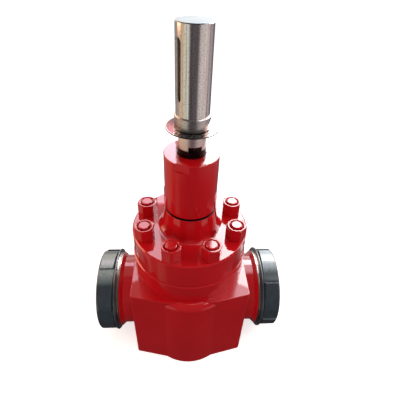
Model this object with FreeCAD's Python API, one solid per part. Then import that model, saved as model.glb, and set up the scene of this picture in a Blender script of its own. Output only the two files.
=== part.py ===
"""Gate valve for drilling mud, nominal 4 inch, with union ends and a turning drive that lifts the gate.

Millimetres. The body stands on Z = 0, +Z is up, the flow runs along X and the front of the valve faces -Y.
Angles around the stem are measured from the front (-Y) towards +X.
Angles around the flow axis are measured from the front (-Y) upwards.
The valve is drawn open, as such valves are kept and shipped: the gate is lifted clear of the bore.
"""

import FreeCAD
import Part

import math
import os

Vector = FreeCAD.Vector

# Clearances. Each one is used wherever that kind of gap occurs.
RUNNING = 0.08
SLIDING = 0.10
ASSEMBLY = 0.30
THREAD_GAP = 0.15
SEAL_EASE = 0.10

# How far a cutting shape runs past the face that it cuts
PAST = 1.0

# Flow way, seats and lift of the gate. The lift is 17 turns of a 6.35 mm screw.
BORE_R = 50.0
SEAT_WALL = 10.0
SEAT_R = BORE_R + SEAT_WALL
SEAT_LAP = 7.5
OPEN_SPARE = 0.45
LIFT = 2.0 * BORE_R + SEAT_LAP + OPEN_SPARE

# Body block, with a round belly in front and behind
BLOCK_HALF_WIDTH = 123.4
BLOCK_CORNER_Y = 108.8
BLOCK_HEIGHT = 218.3
BLOCK_CORNER_R = 5.0
BLOCK_EDGE_R = 1.2
BELLY_R = 99.0
BELLY_CENTRE_Y = 41.0
BELLY_HALF_WIDTH = 52.0
BELLY_JOIN_Y = BELLY_CENTRE_Y + math.sqrt(BELLY_R**2 - BELLY_HALF_WIDTH**2)
BELLY_SHOULDER_R = 15.0

# Round joint between the body and the bonnet
SPIGOT_R = 76.0
SPIGOT_LENGTH = 10.0
SPIGOT_SEAL_SECTION = 5.0
SPIGOT_SEAL_DEPTH = 2.5
STUD_INSET = 23.0
STUD_CIRCLE_R = SPIGOT_R + STUD_INSET
STUD_EDGE = 21.0
BONNET_R = STUD_CIRCLE_R + STUD_EDGE
RING_PROUD = 2.0
RING_R = BONNET_R + RING_PROUD
RING_HEIGHT = 43.3
RING_ROOT = 20.0
RING_CHAMFER = 2.5
JOINT_Z = BLOCK_HEIGHT + RING_HEIGHT

# Hubs and union ends
FLOW_Z = 104.5
NECK_R = 80.7
NECK_LENGTH = 27.5
NECK_END_X = BLOCK_HALF_WIDTH + NECK_LENGTH
NECK_FILLET = 7.0
UNION_R = 87.0
UNION_THREAD_DEPTH = 1.2
UNION_ROOT_R = UNION_R - UNION_THREAD_DEPTH
FLARE_PROUD = 0.8
FLARE_LAND = 0.8
FLARE_R = UNION_R + FLARE_PROUD
UNION_START_X = NECK_END_X + (FLARE_R - NECK_R)
UNION_LENGTH = 42.0
UNION_FACE_X = UNION_START_X + UNION_LENGTH
UNION_CHAMFER = 3.0
UNION_SEAL_STEP = 3.0
UNION_SEAL_WALL = 9.0
UNION_SEAL_IN_R = BORE_R + UNION_SEAL_STEP
UNION_SEAL_OUT_R = UNION_SEAL_IN_R + UNION_SEAL_WALL
UNION_SEAL_DEPTH = 12.0
UNION_SEAL_LENGTH = 9.0
UNION_SEAL_LIP = 1.5

# Gate, seat rings and the chamber that the gate slides in
GATE_HALF_THICKNESS = 18.0
GATE_HALF_WIDTH = SEAT_R
GATE_BOTTOM_Z = FLOW_Z - BORE_R - SEAT_LAP
GATE_CHAMFER = 1.5
CHAMBER_SIDE_ROOM = 3.0
CHAMBER_EDGE_ROOM = 1.0
CHAMBER_HALF_THICKNESS = GATE_HALF_THICKNESS + CHAMBER_SIDE_ROOM
CHAMBER_HALF_WIDTH = GATE_HALF_WIDTH + CHAMBER_EDGE_ROOM
CHAMBER_CORNER_R = 6.0
SEAT_FACE_X = GATE_HALF_THICKNESS + SLIDING
SEAT_LENGTH = 21.9
SEAT_BACK_X = SEAT_FACE_X + SEAT_LENGTH
SEAT_CHAMFER = 1.0
SEAT_SEAL_SECTION = 5.0
SEAT_SEAL_INSET = 10.0
SEAT_SEAL_X = SEAT_BACK_X - SEAT_SEAL_INSET

# Stem, and the T-slot in the gate that its head hangs in. Heights are those of the closed valve.
STEM_R = 18.0
STEM_HOLE_GAP = 0.6
STEM_NECK_STEP = 6.5
STEM_NECK_R = STEM_R - STEM_NECK_STEP
STEM_HEAD_OVERHANG = 8.0
STEM_HEAD_HALF_Y = STEM_NECK_R + STEM_HEAD_OVERHANG
STEM_HEAD_INSET = 2.0
STEM_HEAD_HALF_X = GATE_HALF_THICKNESS - STEM_HEAD_INSET
STEM_HEAD_HEIGHT = 14.0
STEM_HEAD_CHAMFER = 1.0
STEM_NECK_ROOT = 2.0
GATE_WEB = 3.5
T_SLOT_FLOOR_Z = FLOW_Z + SEAT_R + GATE_WEB
STEM_HEAD_Z = T_SLOT_FLOOR_Z + ASSEMBLY
T_SLOT_ROOF_Z = STEM_HEAD_Z + STEM_HEAD_HEIGHT + ASSEMBLY
GATE_LIP = 9.4
GATE_TOP_Z = T_SLOT_ROOF_Z + GATE_LIP
STEM_NECK_SHOW = 4.0
STEM_SHOULDER_Z = GATE_TOP_Z + STEM_NECK_SHOW
CHAMBER_HEADROOM = 3.05
CHAMBER_ROOF_Z = GATE_TOP_Z + LIFT + CHAMBER_HEADROOM
SCREW_STEP = 2.0
SCREW_R = STEM_R - SCREW_STEP
SCREW_TIP_CHAMFER = 3.0

# Bonnet flange
BONNET_ROOF = 17.0
FLANGE_TOP_Z = CHAMBER_ROOF_Z + BONNET_ROOF
BONNET_BOTTOM_CHAMFER = 1.5
BONNET_TOP_CHAMFER = 2.5

# Bonnet bolting, 7/8 inch studs with heavy hexagon nuts
STUD_COUNT = 8
STUD_R = 11.1
STUD_RISE = 30.5
STUD_TIP_Z = FLANGE_TOP_Z + STUD_RISE
STUD_CHAMFER = 1.5
STUD_END_GAP = 1.0
STUD_HOLE_DEPTH = 37.0
STUD_HOLE_GAP = 0.9
NUT_ACROSS_FLATS = 36.5
NUT_HEIGHT = 28.5
NUT_CORNER_R = 1.6
NUT_COUNTERSINK = 0.8
NUT_FACE_HEIGHT = 0.4
NUT_TURNS = (18.0, 33.0, 50.0, 7.0, 20.0, 32.0, 12.0, 46.0)

# Packing box and gland
PACKING_SECTION = 10.0
PACKING_BORE_R = STEM_R + PACKING_SECTION
PACKING_RINGS = 5
PACKING_RING_WALL = 5.2
PACKING_RING_GAP = 0.4
PACKING_RING_PITCH = PACKING_RING_WALL + PACKING_RING_GAP
PACKING_VEE = 3.0
BOTTOM_RING_HEIGHT = 7.0
TOP_RING_HEIGHT = 8.0
PACKING_START_Z = FLANGE_TOP_Z + BOTTOM_RING_HEIGHT + PACKING_RING_GAP / 2
PACKING_END_Z = PACKING_START_Z + PACKING_RINGS * PACKING_RING_PITCH
GLAND_NOSE_Z = PACKING_END_Z + TOP_RING_HEIGHT
GLAND_NOSE_GAP = 0.2
GLAND_STEP = 5.0
GLAND_R = PACKING_BORE_R + GLAND_STEP
GLAND_SINK = 4.0
GLAND_CHAMFER = 1.0
GLAND_PIN_R = 3.0
GLAND_PIN_DEPTH = 8.0
POLISH_PAST_PACKING = 8.8
SCREW_START_Z = GLAND_NOSE_Z + POLISH_PAST_PACKING
SCREW_RUN_OUT = 2.0

# Stem nut and the two roller thrust bearings round it
NUT_RELIEF_R = STEM_R + STEM_HOLE_GAP
NUT_NECK_WALL = 6.9
NUT_NECK_R = NUT_RELIEF_R + NUT_NECK_WALL
NUT_TAIL_STEP = 0.5
NUT_TAIL_R = NUT_NECK_R + NUT_TAIL_STEP
RACE_FIT = 0.2
TURNING_RACE_INNER_R = NUT_TAIL_R + RACE_FIT
FIXED_RACE_ROOM = 4.0
FIXED_RACE_INNER_R = NUT_TAIL_R + FIXED_RACE_ROOM
RACE_HEIGHT = 6.0
ROLLER_R = 4.0
ROLLER_INSET = 0.5
ROLLER_INNER_R = FIXED_RACE_INNER_R + ROLLER_INSET
ROLLER_LENGTH = 9.0
ROLLER_OUTER_R = ROLLER_INNER_R + ROLLER_LENGTH
ROLLER_COUNT = 14
ROLLER_LAYER = 2.0 * ROLLER_R + 2.0 * SLIDING
RACE_RIM = 1.2
RACE_OUTER_R = ROLLER_OUTER_R + RACE_RIM
CAGE_HEIGHT = 4.0
CAGE_RIM = 0.9
NUT_FLANGE_INSET = 0.7
NUT_FLANGE_R = RACE_OUTER_R - NUT_FLANGE_INSET
NUT_FLANGE_HEIGHT = 26.0

# Bearing housing, and the bonnet neck and cone that it is screwed to
HOUSING_CAVITY_R = RACE_OUTER_R + ASSEMBLY
HOUSING_WALL = 9.9
HOUSING_R = HOUSING_CAVITY_R + HOUSING_WALL
HOUSING_GROOVE = 3.3
HOUSING_CROWN = 26.1
HOUSING_HOLE_GAP = 0.5
HOUSING_HOLE_R = NUT_NECK_R + HOUSING_HOLE_GAP
HOUSING_SEAL_WALL = 6.0
HOUSING_SEAL_R = HOUSING_HOLE_R + HOUSING_SEAL_WALL
HOUSING_SEAL_HEIGHT = 9.0
HOUSING_SEAL_COVER = 7.0
WRENCH_FLAT_ANGLE = -24.5
WRENCH_FLAT_DEPTH = 2.6
WRENCH_FLAT_HEIGHT = 16.5
CONE_PROUD = 0.6
CONE_TOP_R = HOUSING_R + CONE_PROUD
CONE_TAPER = 5.9
CONE_BASE_R = CONE_TOP_R + CONE_TAPER
CONE_FILLET = 10.0
CONE_HEIGHT = 51.6
CONE_TOP_Z = FLANGE_TOP_Z + CONE_HEIGHT
CONE_CHAMFER = 1.0
RACE_SHELF = 3.0
BONNET_NECK_R = HOUSING_CAVITY_R + RACE_SHELF
BONNET_NECK_LENGTH = 28.4
BONNET_NECK_TOP_Z = CONE_TOP_Z + BONNET_NECK_LENGTH
BONNET_NECK_CHAMFER = 1.5
GLAND_TOP_Z = BONNET_NECK_TOP_Z - GLAND_SINK

# Heights of the layers on the bonnet neck
LOWER_ROLLERS_Z = BONNET_NECK_TOP_Z + RACE_HEIGHT
LOWER_TURNING_Z = LOWER_ROLLERS_Z + ROLLER_LAYER
NUT_FLANGE_Z = LOWER_TURNING_Z + RACE_HEIGHT
UPPER_TURNING_Z = NUT_FLANGE_Z + NUT_FLANGE_HEIGHT
UPPER_ROLLERS_Z = UPPER_TURNING_Z + RACE_HEIGHT
UPPER_FIXED_Z = UPPER_ROLLERS_Z + ROLLER_LAYER
HOUSING_ROOF_Z = UPPER_FIXED_Z + RACE_HEIGHT
HOUSING_BOTTOM_Z = CONE_TOP_Z + HOUSING_GROOVE
HOUSING_TOP_Z = HOUSING_ROOF_Z + HOUSING_CROWN
HOUSING_SEAL_Z = HOUSING_TOP_Z - HOUSING_SEAL_COVER - HOUSING_SEAL_HEIGHT

# Spindle of the stem nut, and what it carries
SPINDLE_WALL = 4.0
NUT_SPINDLE_R = SCREW_R + SPINDLE_WALL
NUT_NECK_SHOW = 12.5
DOG_BASE_Z = HOUSING_TOP_Z + NUT_NECK_SHOW
DOG_COUNT = 3
DOG_ANGLE = 60.0
DOG_PLAY = 2.0
DOG_CENTRE = 13.0
DOG_HEIGHT = 8.0
DOG_ROOT = 1.0
DOG_CLEARANCE = 0.2
BUSH_WALL = 4.2
BUSH_R = NUT_SPINDLE_R + BUSH_WALL
BUSH_LENGTH = 35.4
BUSH_TOP_Z = DOG_BASE_Z + BUSH_LENGTH
BUSH_CHAMFER = 0.8
WASHER_THICKNESS = 2.0
WASHER_TOP_Z = BUSH_TOP_Z + WASHER_THICKNESS
TUBE_ROOM = 5.0
TUBE_WALL = 3.9
TUBE_INNER_R = NUT_SPINDLE_R + TUBE_ROOM
TUBE_R = TUBE_INNER_R + TUBE_WALL
COLLAR_LIP = 2.1
COLLAR_R = TUBE_R + SLIDING + COLLAR_LIP
COLLAR_HEIGHT = 23.5
COLLAR_TOP_Z = WASHER_TOP_Z + COLLAR_HEIGHT
COLLAR_TOP_CHAMFER = 1.6
COLLAR_BOTTOM_CHAMFER = 0.8
WASHER_REACH = 14.9
WASHER_R = COLLAR_R + WASHER_REACH
TUBE_SEAT_RISE = 9.1
TUBE_SEAT_Z = WASHER_TOP_Z + TUBE_SEAT_RISE
SPINDLE_PAST_SEAT = 8.5
NUT_TOP_Z = TUBE_SEAT_Z + SPINDLE_PAST_SEAT
NUT_TOP_CHAMFER = 1.5
SCREW_SPARE = 2.05
NUT_SCREW_START_Z = SCREW_START_Z + LIFT + SCREW_SPARE
NUT_SCREW_LEAD = 2.5
STEM_PAST_NUT = 8.0
STEM_TIP_Z = NUT_TOP_Z + STEM_PAST_NUT
TUBE_SPARE = 21.05
LID_THICKNESS = 5.0
TUBE_TOP_Z = STEM_TIP_Z + LIFT + TUBE_SPARE + LID_THICKNESS
TUBE_TOP_CHAMFER = 1.2
SLOT_ANGLE = -60.0
SLOT_WIDTH = 16.0
SLOT_START = 22.1
SLOT_END = 19.0
SLOT_BOTTOM_Z = COLLAR_TOP_Z + SLOT_START
SLOT_TOP_Z = TUBE_TOP_Z - SLOT_END

# Thread protectors on the union ends
PROTECTOR_BORE_R = UNION_R + ASSEMBLY
THREAD_SHOW = 6.5
PROTECTOR_LIP_X = UNION_START_X + THREAD_SHOW
PROTECTOR_LIP_WIDTH = 5.2
PROTECTOR_LIP_END_X = PROTECTOR_LIP_X + PROTECTOR_LIP_WIDTH
PROTECTOR_LIP_WALL = 9.0
PROTECTOR_LIP_R = PROTECTOR_BORE_R + PROTECTOR_LIP_WALL
PROTECTOR_GROOVE_WALL = 2.5
PROTECTOR_GROOVE_WIDTH = 1.3
PROTECTOR_GROOVE_R = PROTECTOR_BORE_R + PROTECTOR_GROOVE_WALL
PROTECTOR_SHELL_X = PROTECTOR_LIP_END_X + PROTECTOR_GROOVE_WIDTH
PROTECTOR_END_WALL = 8.1
PROTECTOR_END_X = UNION_FACE_X + ASSEMBLY
PROTECTOR_FACE_X = PROTECTOR_END_X + PROTECTOR_END_WALL
PROTECTOR_WALL = 3.1
PROTECTOR_PAD_RISE = 4.0
PROTECTOR_LOW_R = PROTECTOR_BORE_R + PROTECTOR_WALL
PROTECTOR_HIGH_R = PROTECTOR_LOW_R + PROTECTOR_PAD_RISE
PROTECTOR_PADS = 6
PROTECTOR_EDGE_R = 9.0
PROTECTOR_INNER_BEVEL = 4.0
PROTECTOR_STEP_ANGLE = {"left": 80.0, "right": 55.7}


def upright(a, b):
    """A point of a half section: distance from the stem axis, then height."""
    return Vector(a, 0, b)


def along_flow(a, b):
    """A point of a half section: place along the flow, then distance from the flow axis."""
    return Vector(a, 0, FLOW_Z + b)


def in_plan(a, b):
    return Vector(a, b, 0)


def closed_face(steps, place):
    """A face from points joined by straight lines. A step of two points is an arc through the first to the second."""
    edges = []
    here = place(*steps[0])
    first = here
    for step in steps[1:]:
        if isinstance(step[0], tuple):
            middle = place(*step[0])
            end = place(*step[1])
            edges.append(Part.Arc(here, middle, end).toShape())
        else:
            end = place(*step)
            edges.append(Part.makeLine(here, end))
        here = end
    if here.distanceToPoint(first) > 1e-6:
        edges.append(Part.makeLine(here, first))
    return Part.Face(Part.Wire(edges))


def turned(steps):
    """A piece turned about the stem axis."""
    face = closed_face(steps, upright)
    return face.revolve(Vector(0, 0, 0), Vector(0, 0, 1), 360)


def turned_on_flow(steps):
    """A piece turned about the flow axis."""
    face = closed_face(steps, along_flow)
    return face.revolve(Vector(0, 0, FLOW_Z), Vector(1, 0, 0), 360)


def bar(r, z0, z1):
    return Part.makeCylinder(r, z1 - z0, Vector(0, 0, z0))


def ring(r_in, r_out, z0, z1):
    return bar(r_out, z0, z1).cut(bar(r_in, z0 - PAST, z1 + PAST))


def flow_bar(r, x0, x1):
    return Part.makeCylinder(r, x1 - x0, Vector(x0, 0, FLOW_Z), Vector(1, 0, 0))


def box(x, y, z):
    return Part.makeBox(x[1] - x[0], y[1] - y[0], z[1] - z[0], Vector(x[0], y[0], z[0]))


def about_stem(shape, angle):
    """The same piece turned about the stem axis."""
    copy = shape.copy()
    copy.rotate(Vector(0, 0, 0), Vector(0, 0, 1), angle)
    return copy


def to_left(shape):
    """The right-hand piece brought round to the left end."""
    return about_stem(shape, 180)


def opened(shape):
    """A piece drawn for the closed valve, lifted to where it stands when the valve is open."""
    return shape.translated(Vector(0, 0, LIFT))


def corner_fillet(corner, start, end, radius):
    """Middle point of a quarter fillet whose centre is at the given corner of its square."""
    mid = ((start[0] + end[0]) / 2 - corner[0], (start[1] + end[1]) / 2 - corner[1])
    scale = radius / math.hypot(*mid)
    return (corner[0] + mid[0] * scale, corner[1] + mid[1] * scale)


def edges_where(shape, test):
    return [edge for edge in shape.Edges if test(edge)]


def stud_places():
    step = 360.0 / STUD_COUNT
    for number in range(STUD_COUNT):
        angle = math.radians((number + 0.5) * step)
        yield number, Vector(STUD_CIRCLE_R * math.cos(angle), STUD_CIRCLE_R * math.sin(angle), 0)


def chamber(z0, z1):
    """The rectangular way that the gate slides in, with rounded corners."""
    room = box(
        (-CHAMBER_HALF_THICKNESS, CHAMBER_HALF_THICKNESS),
        (-CHAMBER_HALF_WIDTH, CHAMBER_HALF_WIDTH),
        (z0, z1),
    )
    corners = edges_where(room, lambda e: abs(e.Vertexes[0].Z - e.Vertexes[-1].Z) > 1)
    return room.makeFillet(CHAMBER_CORNER_R, corners)


def belly():
    """Round belly of the block, an upright drum whose top rim is widely rounded."""
    shoulder = BELLY_SHOULDER_R
    edge = BLOCK_EDGE_R
    flat_top = BELLY_R - shoulder
    flat_bottom = BELLY_R - edge
    shoulder_z = BLOCK_HEIGHT - shoulder
    bottom = [(flat_bottom, 0), (BELLY_R, edge)]
    top = [(BELLY_R, shoulder_z), (flat_top, BLOCK_HEIGHT)]
    return turned(
        [
            (0, 0),
            bottom[0],
            (corner_fillet((flat_bottom, edge), *bottom, edge), bottom[1]),
            top[0],
            (corner_fillet((flat_top, shoulder_z), *top, shoulder), top[1]),
            (0, BLOCK_HEIGHT),
        ]
    )


def body_block():
    w = BLOCK_HALF_WIDTH
    y = BLOCK_CORNER_Y
    plan = closed_face(
        [
            (-w, -y),
            (-BELLY_HALF_WIDTH, -BELLY_JOIN_Y),
            (BELLY_HALF_WIDTH, -BELLY_JOIN_Y),
            (w, -y),
            (w, y),
            (BELLY_HALF_WIDTH, BELLY_JOIN_Y),
            (-BELLY_HALF_WIDTH, BELLY_JOIN_Y),
            (-w, y),
        ],
        in_plan,
    )
    block = plan.extrude(Vector(0, 0, BLOCK_HEIGHT))
    corners = edges_where(
        block,
        lambda e: e.BoundBox.ZLength > 1 and abs(e.CenterOfMass.x) > w - 1,
    )
    block = block.makeFillet(BLOCK_CORNER_R, corners)
    rims = edges_where(block, lambda e: e.BoundBox.ZLength < 0.01)
    block = block.makeFillet(BLOCK_EDGE_R, rims)
    front = belly().translated(Vector(0, -BELLY_CENTRE_Y, 0))
    return block.fuse([front, about_stem(front, 180)])


def hub_steps():
    """Half section of the right-hand hub: fillet at the block, neck, flare and union end."""
    foot = BLOCK_HALF_WIDTH
    centre = (foot + NECK_FILLET, NECK_R + NECK_FILLET)
    start = (foot, NECK_R + NECK_FILLET)
    end = (foot + NECK_FILLET, NECK_R)
    return [
        (0, 0),
        (0, start[1]),
        start,
        (corner_fillet(centre, start, end, NECK_FILLET), end),
        (NECK_END_X, NECK_R),
        (UNION_START_X, FLARE_R),
        (UNION_START_X + FLARE_LAND, FLARE_R),
        (UNION_START_X + FLARE_LAND, UNION_ROOT_R),
        (UNION_FACE_X - UNION_CHAMFER, UNION_ROOT_R),
        (UNION_FACE_X, UNION_ROOT_R - UNION_CHAMFER),
        (UNION_FACE_X, 0),
    ]


def make_body():
    shape = body_block()
    root_z = BLOCK_HEIGHT - RING_ROOT
    shape = shape.fuse(
        turned(
            [
                (0, root_z),
                (RING_R, root_z),
                (RING_R, JOINT_Z - RING_CHAMFER),
                (RING_R - RING_CHAMFER, JOINT_Z),
                (0, JOINT_Z),
            ]
        )
    )
    hub = turned_on_flow(hub_steps())
    shape = shape.fuse([hub, to_left(hub)])
    round_centre_z = GATE_BOTTOM_Z - CHAMBER_EDGE_ROOM + CHAMBER_HALF_WIDTH
    shape = shape.cut(chamber(round_centre_z, JOINT_Z + PAST))
    shape = shape.cut(
        Part.makeCylinder(
            CHAMBER_HALF_WIDTH,
            2 * CHAMBER_HALF_THICKNESS,
            Vector(-CHAMBER_HALF_THICKNESS, 0, round_centre_z),
            Vector(1, 0, 0),
        )
    )
    shape = shape.cut(flow_bar(BORE_R, -UNION_FACE_X - PAST, UNION_FACE_X + PAST))
    shape = shape.cut(flow_bar(SEAT_R + SLIDING, -SEAT_BACK_X, SEAT_BACK_X))
    for x0 in (-UNION_FACE_X - PAST, UNION_FACE_X - UNION_SEAL_DEPTH):
        shape = shape.cut(flow_bar(UNION_SEAL_OUT_R, x0, x0 + UNION_SEAL_DEPTH + PAST))
    spigot_floor = JOINT_Z - SPIGOT_LENGTH - ASSEMBLY
    shape = shape.cut(bar(SPIGOT_R + THREAD_GAP, spigot_floor, JOINT_Z + PAST))
    for _, place in stud_places():
        hole = Part.makeCylinder(
            STUD_R + THREAD_GAP,
            STUD_HOLE_DEPTH + PAST,
            place + Vector(0, 0, JOINT_Z - STUD_HOLE_DEPTH),
        )
        shape = shape.cut(hole)
    return shape.removeSplitter()


def make_bonnet():
    foot_r = CONE_BASE_R + CONE_FILLET
    centre = (foot_r, FLANGE_TOP_Z + CONE_FILLET)
    start = (foot_r, FLANGE_TOP_Z)
    end = (CONE_BASE_R, FLANGE_TOP_Z + CONE_FILLET)
    groove_top = JOINT_Z - SPIGOT_SEAL_DEPTH
    groove_bottom = groove_top - SPIGOT_SEAL_SECTION
    groove_r = SPIGOT_R - SPIGOT_SEAL_SECTION
    shape = turned(
        [
            (STEM_R + STEM_HOLE_GAP, JOINT_Z - SPIGOT_LENGTH),
            (SPIGOT_R, JOINT_Z - SPIGOT_LENGTH),
            (SPIGOT_R, groove_bottom),
            (groove_r, groove_bottom),
            (groove_r, groove_top),
            (SPIGOT_R, groove_top),
            (SPIGOT_R, JOINT_Z),
            (BONNET_R - BONNET_BOTTOM_CHAMFER, JOINT_Z),
            (BONNET_R, JOINT_Z + BONNET_BOTTOM_CHAMFER),
            (BONNET_R, FLANGE_TOP_Z - BONNET_TOP_CHAMFER),
            (BONNET_R - BONNET_TOP_CHAMFER, FLANGE_TOP_Z),
            start,
            (corner_fillet(centre, start, end, CONE_FILLET), end),
            (CONE_TOP_R, CONE_TOP_Z - CONE_CHAMFER),
            (CONE_TOP_R - CONE_CHAMFER, CONE_TOP_Z),
            (BONNET_NECK_R, CONE_TOP_Z),
            (BONNET_NECK_R, BONNET_NECK_TOP_Z - BONNET_NECK_CHAMFER),
            (BONNET_NECK_R - BONNET_NECK_CHAMFER, BONNET_NECK_TOP_Z),
            (GLAND_R + THREAD_GAP, BONNET_NECK_TOP_Z),
            (GLAND_R + THREAD_GAP, CONE_TOP_Z),
            (PACKING_BORE_R, CONE_TOP_Z),
            (PACKING_BORE_R, FLANGE_TOP_Z),
            (STEM_R + STEM_HOLE_GAP, FLANGE_TOP_Z),
        ]
    )
    shape = shape.cut(chamber(JOINT_Z - SPIGOT_LENGTH - PAST, CHAMBER_ROOF_Z))
    for _, place in stud_places():
        hole = Part.makeCylinder(
            STUD_R + STUD_HOLE_GAP,
            FLANGE_TOP_Z - JOINT_Z + 2 * PAST,
            place + Vector(0, 0, JOINT_Z - PAST),
        )
        shape = shape.cut(hole)
    return shape


def make_bonnet_studs():
    foot_z = JOINT_Z - STUD_HOLE_DEPTH + STUD_END_GAP
    stud = turned(
        [
            (0, foot_z),
            (STUD_R - STUD_CHAMFER, foot_z),
            (STUD_R, foot_z + STUD_CHAMFER),
            (STUD_R, STUD_TIP_Z - STUD_CHAMFER),
            (STUD_R - STUD_CHAMFER, STUD_TIP_Z),
            (0, STUD_TIP_Z),
        ]
    )
    return Part.makeCompound([stud.translated(place) for _, place in stud_places()])


def make_bonnet_nuts():
    """Heavy hexagon nuts. Each one was tightened to its own angle."""
    corner_r = NUT_ACROSS_FLATS / 2 / math.cos(math.radians(30))
    flat_r = NUT_ACROSS_FLATS / 2
    hole_r = STUD_R + THREAD_GAP
    corners = []
    for k in range(6):
        angle = math.radians(60 * k)
        corners.append((corner_r * math.cos(angle), corner_r * math.sin(angle)))
    hexagon = closed_face(corners, in_plan).extrude(Vector(0, 0, NUT_HEIGHT))
    edges = edges_where(hexagon, lambda e: e.BoundBox.ZLength > 1)
    hexagon = hexagon.makeFillet(NUT_CORNER_R, edges)
    drop = (corner_r - flat_r) * math.tan(math.radians(30))
    rounded = turned(
        [
            (hole_r, NUT_COUNTERSINK),
            (hole_r + NUT_COUNTERSINK, 0),
            (flat_r - NUT_FACE_HEIGHT, 0),
            (flat_r - NUT_FACE_HEIGHT, NUT_FACE_HEIGHT),
            (corner_r, NUT_FACE_HEIGHT),
            (corner_r, NUT_HEIGHT - drop),
            (flat_r, NUT_HEIGHT),
            (hole_r + NUT_COUNTERSINK, NUT_HEIGHT),
            (hole_r, NUT_HEIGHT - NUT_COUNTERSINK),
        ]
    )
    nut = hexagon.common(rounded)
    nuts = []
    for number, place in stud_places():
        turned_nut = about_stem(nut, NUT_TURNS[number % len(NUT_TURNS)])
        nuts.append(turned_nut.translated(place + Vector(0, 0, FLANGE_TOP_Z)))
    return Part.makeCompound(nuts)


def make_bonnet_seal_ring():
    top = JOINT_Z - SPIGOT_SEAL_DEPTH - SEAL_EASE
    return ring(
        SPIGOT_R - SPIGOT_SEAL_SECTION + SEAL_EASE,
        SPIGOT_R + THREAD_GAP,
        top - SPIGOT_SEAL_SECTION + 2 * SEAL_EASE,
        top,
    )


def make_seat_ring():
    """Right-hand seat: a steel ring in the body pocket, its face against the gate, with a groove round it."""
    groove_r = SEAT_R - SEAT_SEAL_SECTION
    half = SEAT_SEAL_SECTION / 2
    return turned_on_flow(
        [
            (SEAT_FACE_X, BORE_R),
            (SEAT_FACE_X, SEAT_R - SEAT_CHAMFER),
            (SEAT_FACE_X + SEAT_CHAMFER, SEAT_R),
            (SEAT_SEAL_X - half, SEAT_R),
            (SEAT_SEAL_X - half, groove_r),
            (SEAT_SEAL_X + half, groove_r),
            (SEAT_SEAL_X + half, SEAT_R),
            (SEAT_BACK_X, SEAT_R),
            (SEAT_BACK_X, BORE_R),
        ]
    )


def make_seat_seal():
    half = SEAT_SEAL_SECTION / 2 - SEAL_EASE
    groove_r = SEAT_R - SEAT_SEAL_SECTION + SEAL_EASE
    return turned_on_flow(
        [
            (SEAT_SEAL_X - half, groove_r),
            (SEAT_SEAL_X + half, groove_r),
            (SEAT_SEAL_X + half, SEAT_R + SLIDING),
            (SEAT_SEAL_X - half, SEAT_R + SLIDING),
        ]
    )


def make_union_seal():
    """Right-hand seal ring, bedded on the floor of the recess in the end face."""
    floor_x = UNION_FACE_X - UNION_SEAL_DEPTH
    face_x = floor_x + UNION_SEAL_LENGTH
    return turned_on_flow(
        [
            (floor_x, UNION_SEAL_IN_R),
            (floor_x, UNION_SEAL_OUT_R),
            (face_x, UNION_SEAL_OUT_R),
            (face_x, UNION_SEAL_IN_R + UNION_SEAL_LIP),
            (face_x - UNION_SEAL_LIP, UNION_SEAL_IN_R),
        ]
    )


def make_gate():
    w = GATE_HALF_WIDTH
    round_z = GATE_BOTTOM_Z + w
    slab = closed_face(
        [
            (-w, GATE_TOP_Z),
            (-w, round_z),
            ((0, GATE_BOTTOM_Z), (w, round_z)),
            (w, GATE_TOP_Z),
        ],
        lambda a, b: Vector(-GATE_HALF_THICKNESS, a, b),
    )
    shape = slab.extrude(Vector(2 * GATE_HALF_THICKNESS, 0, 0))
    rims = edges_where(
        shape,
        lambda e: e.BoundBox.XLength < 0.01 and e.CenterOfMass.z < GATE_TOP_Z - 1,
    )
    shape = shape.makeChamfer(GATE_CHAMFER, rims)
    x = (-GATE_HALF_THICKNESS - PAST, GATE_HALF_THICKNESS + PAST)
    head_y = STEM_HEAD_HALF_Y + ASSEMBLY
    neck_y = STEM_NECK_R + ASSEMBLY
    shape = shape.cut(box(x, (-head_y, head_y), (T_SLOT_FLOOR_Z, T_SLOT_ROOF_Z)))
    shape = shape.cut(box(x, (-neck_y, neck_y), (T_SLOT_ROOF_Z - PAST, GATE_TOP_Z + PAST)))
    return opened(shape)


def make_stem():
    head = box(
        (-STEM_HEAD_HALF_X, STEM_HEAD_HALF_X),
        (-STEM_HEAD_HALF_Y, STEM_HEAD_HALF_Y),
        (STEM_HEAD_Z, STEM_HEAD_Z + STEM_HEAD_HEIGHT),
    )
    head = head.makeChamfer(STEM_HEAD_CHAMFER, head.Edges)
    root_z = STEM_HEAD_Z + STEM_NECK_ROOT
    rod = turned(
        [
            (0, root_z),
            (STEM_NECK_R, root_z),
            (STEM_NECK_R, STEM_SHOULDER_Z),
            (STEM_R, STEM_SHOULDER_Z + STEM_NECK_STEP),
            (STEM_R, SCREW_START_Z - SCREW_RUN_OUT),
            (SCREW_R, SCREW_START_Z),
            (SCREW_R, STEM_TIP_Z - SCREW_TIP_CHAMFER),
            (SCREW_R - SCREW_TIP_CHAMFER, STEM_TIP_Z),
            (0, STEM_TIP_Z),
        ]
    )
    return opened(head.fuse(rod).removeSplitter())


def packing_radii():
    return STEM_R + RUNNING, (STEM_R + PACKING_BORE_R) / 2, PACKING_BORE_R


def make_packing_bottom_ring():
    """Metal ring on the floor of the packing box. Its top is a vee that the first packing ring sits on."""
    r_in, r_mid, r_out = packing_radii()
    floor = FLANGE_TOP_Z
    top = floor + BOTTOM_RING_HEIGHT
    crown = (r_mid, top + PACKING_VEE)
    return turned([(r_in, floor), (r_out, floor), (r_out, top), crown, (r_in, top)])


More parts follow.
